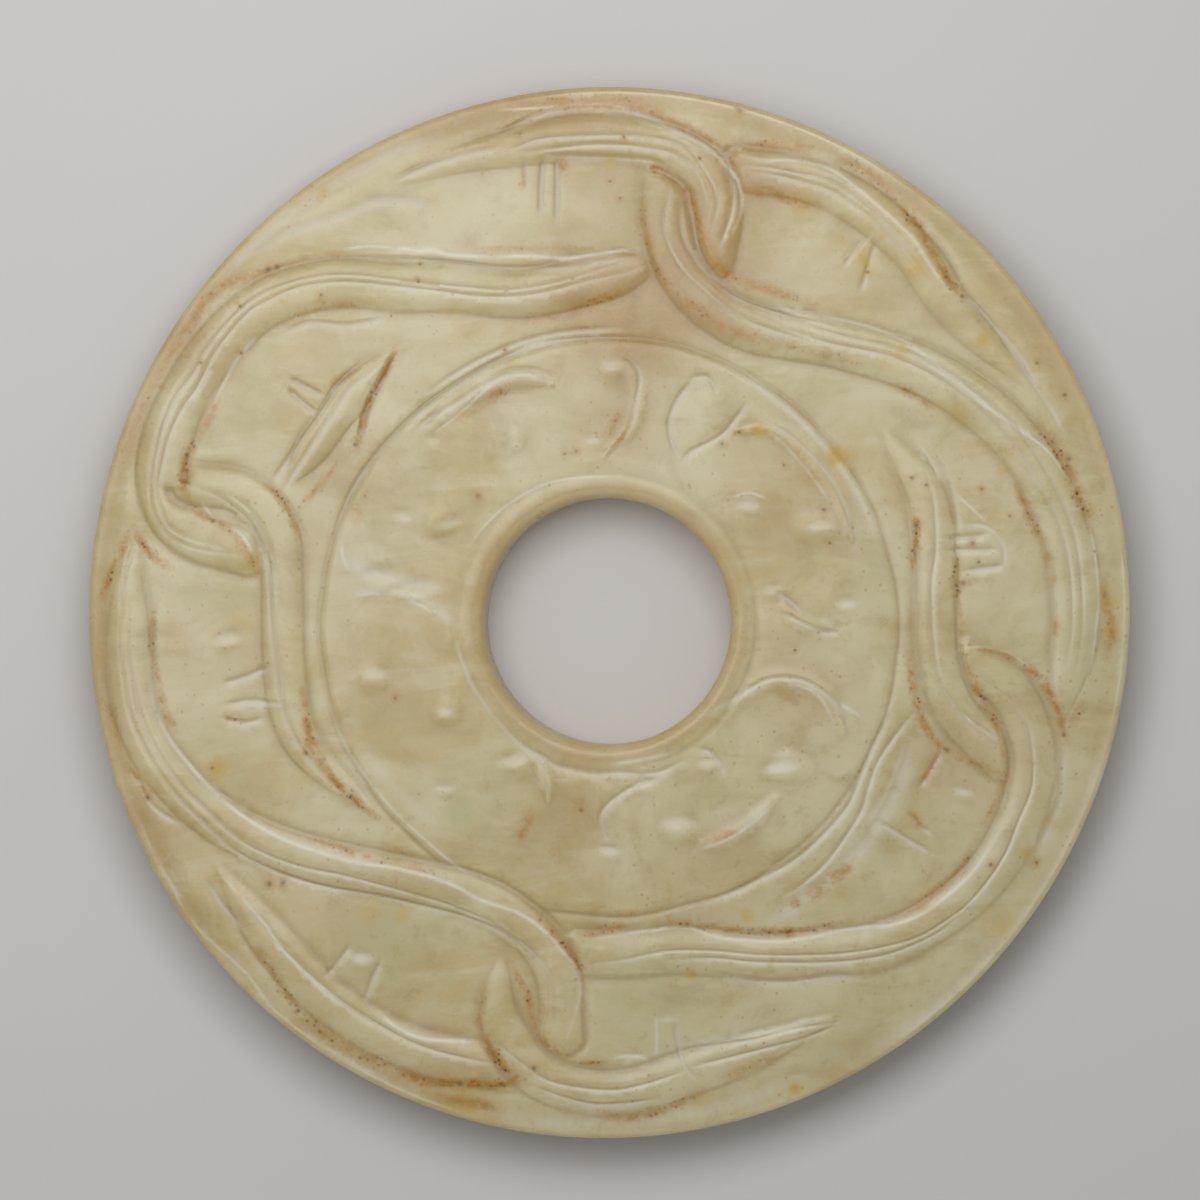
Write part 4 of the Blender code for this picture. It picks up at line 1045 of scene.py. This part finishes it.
def face_points(rim, mouth, groups, centre, cell, loop_gap):
    """Plan points of one face: its two loops first, then the groups' points between them."""
    between = [(rim, 0.0), (mouth, 0.0)]
    for points, gap in groups:
        clear_of_rim = inside_edge(points)[1] > EDGE_RADIUS + loop_gap
        clear_of_hole = away_from(points, centre) > HOLE_RADIUS + MOUTH_RADIUS + loop_gap
        between.append((points[clear_of_rim & clear_of_hole], gap))
    return thinned(between, cell)


def loop_edges(first, count):
    return [(first + index, first + (index + 1) % count) for index in range(count)]


def triangulate(places):
    """Triangles between the two loops that the list of places starts with."""
    edges = loop_edges(0, RIM_SIDES) + loop_edges(RIM_SIDES, HOLE_SIDES)
    plan = [Vector((x / MM, y / MM)) for x, y in places.tolist()]
    triangles = geometry.delaunay_2d_cdt(plan, edges, [], 1, SAME_PLACE, False)[2]
    mouth = range(RIM_SIDES, RIM_SIDES + HOLE_SIDES)
    return [tri for tri in triangles if not all(corner in mouth for corner in tri)]


def rounding(top, radius):
    """Inset and height at each step of an outer edge's quarter round, top to side."""
    turns = [math.pi / 2 * step / ROUNDING_STEPS for step in range(1, ROUNDING_STEPS + 1)]
    return [(radius * (1 - math.sin(turn)), top - radius * (1 - math.cos(turn))) for turn in turns]


def rim_loop(inset, height):
    outline = turned_points(lambda angle: disc_edge(angle) - inset, RIM_SIDES)
    return np.column_stack((outline, np.full(RIM_SIDES, height)))


def mouth_loop(inset, height):
    """A loop round the bore: the inset widens it, towards the rounded mouths."""
    circle = turned_points(HOLE_RADIUS + inset, HOLE_SIDES, hole_centre(height))
    return np.column_stack((circle, np.full(HOLE_SIDES, height)))


def wall_loops(make_loop, top, radius):
    """Loops from the front's last loop down to the back's first one, both left out."""
    upper = [make_loop(inset, height) for inset, height in rounding(top, radius)]
    straight = np.linspace(top - radius, radius, WALL_STEPS)[1:-1]
    middle = [make_loop(0.0, height) for height in straight]
    lower = [make_loop(inset, -height) for inset, height in reversed(rounding(0.0, radius))]
    return upper + middle + lower


def bridge(first, second, count):
    """Two triangles between each pair of neighbours on two loops."""
    faces = []
    for index in range(count):
        after = (index + 1) % count
        faces.append((first + index, first + after, second + after))
        faces.append((first + index, second + after, second + index))
    return faces


def build_surface():
    """All vertices and faces of the stone, and how many vertices are on the front."""
    rim_level = FIELD_LEVEL - RIM_SLOPE_DROP
    mouth_level = FIELD_LEVEL + RING_RISE + COLLAR_RISE
    rim = rim_loop(EDGE_RADIUS, 0.0)[:, :2]
    front = face_points(rim, mouth_loop(MOUTH_RADIUS, DISC_THICKNESS)[:, :2], front_groups(),
                        hole_centre(DISC_THICKNESS), FILL_SPACING, FRONT_LOOP_GAP)
    back = face_points(rim, mouth_loop(MOUTH_RADIUS, 0.0)[:, :2], back_groups(),
                       hole_centre(0.0), BACK_SPACING, BACK_LOOP_GAP)
    heights = front_level(front)
    heights[:RIM_SIDES] = rim_level
    heights[RIM_SIDES:RIM_SIDES + HOLE_SIDES] = mouth_level
    vertices = [np.column_stack((front, heights)), np.column_stack((back, back_level(back)))]
    faces = triangulate(front)
    first_back = len(front)
    faces += [tuple(first_back + corner for corner in reversed(tri)) for tri in triangulate(back)]
    total = first_back + len(back)
    sides = ((rim_loop, rim_level, EDGE_RADIUS, RIM_SIDES, 0, False),
             (mouth_loop, mouth_level, MOUTH_RADIUS, HOLE_SIDES, RIM_SIDES, True))
    for make_loop, top, radius, count, first_on_face, inward in sides:
        above = first_on_face
        walls = []
        for loop in wall_loops(make_loop, top, radius):
            vertices.append(loop)
            walls += bridge(above, total, count)
            above = total
            total += count
        walls += bridge(above, first_back + first_on_face, count)
        faces += walls if inward else [face[::-1] for face in walls]
    return np.concatenate(vertices), faces, first_back


def stain_masks(places):
    """The soft wash and the dots of the stains, and a weak wash round each speck."""
    wash = np.zeros(len(places))
    dots = np.zeros(len(places))
    for stain, path in zip(STAINS, STAIN_PATHS):
        width = stain.width * MM
        near, distance, share, _ = nearest_on_path(places, path, WASH_REACH * width)
        fade = end_fade(share, STAIN_END, STAIN_FADE)
        soft = WASH_STRENGTH * stain.wash * fade * smooth(1.0 - distance / (WASH_REACH * width))
        sharp = stain.dots * fade * smooth(DOTS_EDGE - distance / (DOTS_REACH * width))
        wash[near] = np.maximum(wash[near], soft)
        dots[near] = np.maximum(dots[near], sharp)
    for x, y, reach in SPECKS:
        halo = smooth(1.0 - away_from(places, from_picture((x, y))) / pixels(HALO_REACH * reach))
        wash = np.maximum(wash, HALO_STRENGTH * halo)
    return wash, dots


def cut_dirt_and_shade_mask(places):
    """How dark the incised lines are, and the rounded mouth of the hole: partly dirt in the lines,
    partly painted shade in the cuts and the hole's mouth.
    """
    dark = MOUTH_TINT * smooth((MOUTH_TINT_WIDTH - outside_hole(places)) / MOUTH_TINT_BLEND)
    for cut, path in zip(CUTS, CUT_PATHS):
        near, fullness = cut_profile(places, path, CUT_TINT_REACH * cut.width * MM)
        dark[near] = np.maximum(dark[near], cut.tint * fullness)
    return dark


def painted_highlight_mask(places):
    """Painted highlights: pale on each gleam, on each cut's side that faces the light and on each
    facet.
    """
    pale = np.zeros(len(places))
    for gleam, path in zip(GLEAMS, GLEAM_PATHS):
        near, fullness = cut_profile(places, path, GLEAM_REACH * gleam.width * MM)
        pale[near] = np.maximum(pale[near], GLEAM_STRENGTH * gleam.amount * fullness)
    for cut, path in zip(CUTS, CUT_PATHS):
        near, fullness = cut_profile(places, path + LIT_SIDE, cut.width * MM)
        pale[near] = np.maximum(pale[near], LIT_SIDE_STRENGTH * fullness)
    for facet in FACETS:
        pale = np.maximum(pale, FACET_HIGHLIGHT_STRENGTH * facet_cover(places, facet)[0] ** 2)
    return np.minimum(pale, 1.0)


def speck_mask(places):
    dark = np.zeros(len(places))
    for x, y, reach in SPECKS:
        away = away_from(places, from_picture((x, y))) / pixels(SPECK_REACH * reach)
        dark = np.maximum(dark, smooth(SPECK_EDGE - away))
    return dark


def patch_mask(places, kind):
    """The soft patches of one kind of tint."""
    amount = np.zeros(len(places))
    for x, y, reach, strength in PATCHES[kind]:
        away = away_from(places, from_picture((x, y)))
        amount += strength * smooth(1.0 - away / pixels(PATCH_REACH * reach))
    return np.clip(amount, 0.0, 1.0)


def skin_mask(places):
    """Where the stone is warmer: round the hole, and round the edge, most at the upper left."""
    angles, inside = inside_edge(places)
    side = np.cos(angles - math.radians(RIM_TINT_AT))
    side = RIM_TINT_EVEN_SHARE + (1.0 - RIM_TINT_EVEN_SHARE) * side
    round_rim = RIM_TINT * side * smooth(1.0 - inside / RIM_TINT_REACH)
    round_hole = HOLE_TINT * smooth(HOLE_TINT_EDGE - outside_hole(places) / HOLE_TINT_REACH)
    return np.maximum(round_rim, round_hole)


def hollow_shade_mask(vertices, faces):
    """How hollow the surface is at each vertex: its height against that of its surroundings, which sets
    the painted shade in the hollows.
    """
    tris = np.array(faces)
    edges = np.concatenate((tris[:, :2], tris[:, 1:], tris[:, ::2]))
    counts = np.bincount(edges.ravel(), minlength=len(vertices)).astype(float)
    around = vertices[:, 2].copy()
    for _ in range(HOLLOW_STEPS):
        sums = np.bincount(edges[:, 0], around[edges[:, 1]], len(vertices))
        sums += np.bincount(edges[:, 1], around[edges[:, 0]], len(vertices))
        around = sums / counts
    return (around - vertices[:, 2]) / HOLLOW_DEPTH


def add_mask(mesh, name, values):
    mask = mesh.attributes.new(name, "FLOAT", "POINT")
    mask.data.foreach_set("value", np.ascontiguousarray(values, dtype=np.float32))


def make_stone():
    vertices, faces, front_count = build_surface()
    mesh = bpy.data.meshes.new("bi_stone")
    mesh.from_pydata(vertices.tolist(), [], faces)
    mesh.validate()
    mesh.shade_smooth()
    places = vertices[:, :2]
    on_front = np.arange(len(vertices)) < front_count
    wash, dots = stain_masks(places)
    # Masks: cut is partly dirt and partly painted shade, hollow is painted shade, light is painted
    # highlight, pale is partly painted sheen.
    masks = {"wash": wash, "dots": dots, "cut": cut_dirt_and_shade_mask(places), "speck": speck_mask(places),
             "pale": patch_mask(places, "pale"), "green": patch_mask(places, "green"),
             "yellow": patch_mask(places, "yellow"), "hollow": hollow_shade_mask(vertices, faces),
             "light": painted_highlight_mask(places)}
    for name, values in masks.items():
        add_mask(mesh, name, np.where(on_front, values, 0.0))
    add_mask(mesh, "warm", np.clip(patch_mask(places, "tan") + skin_mask(places), 0.0, 1.0))
    stone = bpy.data.objects.new("bi_stone", mesh)
    bpy.context.collection.objects.link(stone)
    return stone


class Shader:
    """A node tree with a short way to add and link nodes."""

    def __init__(self, name):
        self.material = bpy.data.materials.new(name)
        self.material.use_nodes = True
        self.tree = self.material.node_tree
        self.inputs = self.tree.nodes["Principled BSDF"].inputs

    def put(self, socket, value):
        if isinstance(value, bpy.types.NodeSocket):
            self.tree.links.new(value, socket)
        else:
            socket.default_value = value

    def node(self, kind, **inputs):
        node = self.tree.nodes.new(kind)
        for key, value in inputs.items():
            self.put(node.inputs[key.replace("_", " ")], value)
        return node

    def place(self):
        return self.node("ShaderNodeTexCoord").outputs["Object"]

    def stretched(self, fineness):
        """Places for a noise that is drawn out: how fine it is along each axis."""
        return self.node("ShaderNodeMapping", Vector=self.place(), Scale=fineness).outputs["Vector"]

    def noise(self, scale, detail, roughness, distortion, vector=None):
        texture = self.node("ShaderNodeTexNoise", Scale=scale, Detail=detail, Roughness=roughness,
                            Distortion=distortion, Vector=vector or self.place())
        return texture.outputs["Fac"]

    def cells(self, scale):
        texture = self.node("ShaderNodeTexVoronoi", Scale=scale, Vector=self.place())
        return texture.outputs["Distance"]

    def ramp(self, value, low, high, bottom=0.0, top=1.0):
        spread = self.node("ShaderNodeMapRange", Value=value, From_Min=low, From_Max=high,
                           To_Min=bottom, To_Max=top)
        return spread.outputs["Result"]

    def times(self, first, second):
        node = self.tree.nodes.new("ShaderNodeMath")
        node.operation = "MULTIPLY"
        self.put(node.inputs[0], first)
        self.put(node.inputs[1], second)
        return node.outputs["Value"]

    def blend(self, factor, first, second):
        node = self.tree.nodes.new("ShaderNodeMix")
        node.data_type = "RGBA"
        self.put(node.inputs["Factor"], factor)
        self.put(node.inputs["A"], first)
        self.put(node.inputs["B"], second)
        return node.outputs["Result"]

    def mask(self, name):
        node = self.tree.nodes.new("ShaderNodeAttribute")
        node.attribute_name = name
        return node.outputs["Fac"]


def colour(red, green, blue):
    """A colour as read on a screen, 0 to 255, for a shader's socket."""
    linear = []
    for value in (red, green, blue):
        share = value / 255
        linear.append(share / 12.92 if share <= 0.04045 else ((share + 0.055) / 1.055) ** 2.4)
    return (*linear, 1.0)


JADE = colour(198, 179, 129)
JADE_PALE = colour(211, 202, 166)
JADE_OLIVE = colour(172, 153, 104)
JADE_GREEN = colour(188, 180, 134)
JADE_TAN = colour(180, 150, 98)
# Tan of dirt in the cuts, also laid as painted shade in the cuts, the hole's mouth and the hollows.
GROOVE_TAN_AND_SHADE = colour(164, 138, 82)
# The painted highlight's colour.
PAINTED_HIGHLIGHT = colour(226, 222, 205)
YELLOW = colour(198, 166, 66)
STAIN_ORANGE = colour(180, 134, 52)
STAIN_DARK = colour(104, 60, 32)
SPECK_DARK = colour(88, 58, 38)
FLOOR_PALE = colour(214, 211, 209)

# The stone's noises: scale, detail, roughness and distortion
NOISES = {"cloud": (65, 3, 0.5, 0.5), "broad": (120, 5, 0.6, 0.8), "middle": (330, 6, 0.62, 0.7),
          "fine": (900, 5, 0.65, 0.2), "mottle": (1500, 4, 0.65, 0.0), "grain": (3600, 3, 0.6, 0.0)}
WISPS = (1, 5, 0.62, 0.6)
WISP_FINENESS = (150, 520, 300)
PEPPER_SCALE = 1500
DOT_SCALE = 3200

# Ranges: from and to, then where they aren't 0 and 1, what they are spread to
HOLLOW_SHADE_UNEVEN = (0.3, 0.6, 0.5, 1.0)
PEPPER_SIZE = (0.16, 0.08, 0.0, 0.45)
PEPPER_UNEVEN = (0.45, 0.6)
DOT_SIZE = (0.34, 0.18)
DOT_UNEVEN = (0.4, 0.55)
SPECK_UNEVEN = (0.3, 0.55, 0.4, 0.85)
PALE_GRAIN = (0.4, 0.7, 0.0, 0.12)
ROUGHNESS = (0.35, 0.65, 0.26, 0.38)

# The stone's gloss, and how far red, green and blue light go into it
GLOSS = 0.42
LIGHT_DEPTH = 2.0 * MM
LIGHT_DEPTH_SHARES = (1.0, 0.97, 0.88)

# Clouds in the jade: their noise, its range, how strong they get, and their tint
CLOUDS = (
    ("cloud", 0.42, 0.62, 0.55, JADE_GREEN),
    ("broad", 0.44, 0.62, 0.8, JADE_PALE),
    ("wisps", 0.5, 0.64, 0.7, JADE_PALE),
    ("wisps", 0.46, 0.34, 0.3, JADE_OLIVE),
    ("middle", 0.52, 0.66, 0.45, JADE_PALE),
    ("middle", 0.44, 0.32, 0.3, JADE_OLIVE),
    ("fine", 0.48, 0.36, 0.12, JADE_OLIVE),
)

# Tints laid where a mask says: the mask, the noise that makes it uneven, that noise's range, the
# least and the greatest share that it leaves, and the tint
# The pale tint is partly paler stone and partly painted sheen.
SKIN_TINTS = (
    ("green", "middle", 0.35, 0.62, 0.3, 0.9, JADE_GREEN),
    ("pale", "middle", 0.35, 0.62, 0.25, 0.85, JADE_PALE),
    ("warm", "middle", 0.35, 0.62, 0.65, 1.1, JADE_TAN),
)
# The cut tint is partly dirt and partly painted shade; the light tint is a painted highlight.
CUT_TINTS = (
    ("cut", "fine", 0.35, 0.6, 0.4, 1.0, GROOVE_TAN_AND_SHADE),
    ("light", "fine", 0.38, 0.55, 0.6, 1.0, PAINTED_HIGHLIGHT),
    ("yellow", "fine", 0.38, 0.58, 0.3, 1.0, YELLOW),
    ("wash", "mottle", 0.36, 0.56, 0.3, 1.15, STAIN_ORANGE),
)


def tinted(shader, base, noises, tints):
    """The base under each of the tints in turn."""
    for mask, noise, low, high, least, most, tint in tints:
        uneven = shader.ramp(noises[noise], low, high, least, most)
        base = shader.blend(shader.times(shader.mask(mask), uneven), base, tint)
    return base


def clean_stone(shader, noises):
    """The cloudy jade with its patches of tint, the pale ones partly painted sheen, and painted shade
    in the hollows.
    """
    base = JADE
    for noise, low, high, most, tint in CLOUDS:
        base = shader.blend(shader.ramp(noises[noise], low, high, 0.0, most), base, tint)
    base = tinted(shader, base, noises, SKIN_TINTS)
    hollow = shader.times(shader.ramp(shader.mask("hollow"), 0.0, 1.0, 0.0, HOLLOW_SHADE_STRENGTH),
                          shader.ramp(noises["fine"], *HOLLOW_SHADE_UNEVEN))
    return shader.blend(hollow, base, GROOVE_TAN_AND_SHADE)


def dotted(shader, base, noises):
    """Scattered ochre pepper, brown dots in the stains and dark specks."""
    pepper = shader.times(shader.ramp(shader.cells(PEPPER_SCALE), *PEPPER_SIZE),
                          shader.ramp(noises["broad"], *PEPPER_UNEVEN))
    base = shader.blend(pepper, base, STAIN_ORANGE)
    dots = shader.times(shader.mask("dots"), shader.ramp(noises["fine"], *DOT_UNEVEN))
    dots = shader.times(dots, shader.ramp(shader.cells(DOT_SCALE), *DOT_SIZE))
    base = shader.blend(dots, base, STAIN_DARK)
    specks = shader.times(shader.mask("speck"), shader.ramp(noises["grain"], *SPECK_UNEVEN))
    return shader.blend(specks, base, SPECK_DARK)


def jade():
    """Waxy, slightly translucent stone with its clouds, tints, stains and specks, and painted
    highlights and shade.
    """
    shader = Shader("jade")
    noises = {name: shader.noise(*numbers) for name, numbers in NOISES.items()}
    noises["wisps"] = shader.noise(*WISPS, shader.stretched(WISP_FINENESS))
    base = clean_stone(shader, noises)
    base = tinted(shader, base, noises, CUT_TINTS)
    base = dotted(shader, base, noises)
    base = shader.blend(shader.ramp(noises["grain"], *PALE_GRAIN), base, JADE_PALE)
    shader.put(shader.inputs["Base Color"], base)
    shader.put(shader.inputs["Roughness"], shader.ramp(noises["fine"], *ROUGHNESS))
    shader.put(shader.inputs["Specular IOR Level"], GLOSS)
    shader.put(shader.inputs["Subsurface Weight"], 1.0)
    shader.put(shader.inputs["Subsurface Radius"], LIGHT_DEPTH_SHARES)
    shader.put(shader.inputs["Subsurface Scale"], LIGHT_DEPTH)
    return shader.material


def pale_floor():
    shader = Shader("pale_floor")
    shader.put(shader.inputs["Base Color"], FLOOR_PALE)
    shader.put(shader.inputs["Roughness"], FLOOR_ROUGHNESS)
    shader.put(shader.inputs["Specular IOR Level"], FLOOR_GLOSS)
    return shader.material


def add_camera():
    """A camera that looks straight down and takes in as much as the picture."""
    camera = bpy.data.objects.new("camera", bpy.data.cameras.new("camera"))
    bpy.context.collection.objects.link(camera)
    camera.data.sensor_width = SENSOR
    camera.data.lens = SENSOR * CAMERA_HEIGHT / pixels(PICTURE_PIXELS)
    camera.data.clip_start = CAMERA_CLIP
    middle = from_picture((PICTURE_PIXELS / 2, PICTURE_PIXELS / 2))
    camera.location = (middle[0], middle[1], DISC_THICKNESS + CAMERA_HEIGHT)
    bpy.context.scene.camera = camera


def add_floor():
    mesh = bpy.data.meshes.new("floor")
    corners = [(x * FLOOR_REACH, y * FLOOR_REACH, 0) for x, y in ((-1, -1), (1, -1), (1, 1), (-1, 1))]
    mesh.from_pydata(corners, [], [(0, 1, 2, 3)])
    floor = bpy.data.objects.new("floor", mesh)
    floor.location.z = -FLOOR_BELOW
    bpy.context.collection.objects.link(floor)
    mesh.materials.append(pale_floor())


def add_light():
    """A soft window and a dim room."""
    window = bpy.data.lights.new("window", "AREA")
    window.shape = "RECTANGLE"
    window.size, window.size_y = WINDOW_SIZE
    window.energy = WINDOW_WATTS
    light = bpy.data.objects.new("window", window)
    light.location = WINDOW_PLACE
    towards = Vector(WINDOW_AIM) - Vector(WINDOW_PLACE)
    light.rotation_euler = towards.to_track_quat("-Z", "Y").to_euler()
    bpy.context.collection.objects.link(light)
    room = bpy.data.worlds.new("studio")
    room.use_nodes = True
    background = room.node_tree.nodes["Background"].inputs
    background["Color"].default_value = ROOM_TINT
    background["Strength"].default_value = ROOM_STRENGTH
    bpy.context.scene.world = room
    bpy.context.scene.view_settings.view_transform = "Standard"


stone = make_stone()
stone.data.materials.append(jade())
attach(stone, "root")
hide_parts("bi_disc")
add_floor()
add_light()
add_camera()
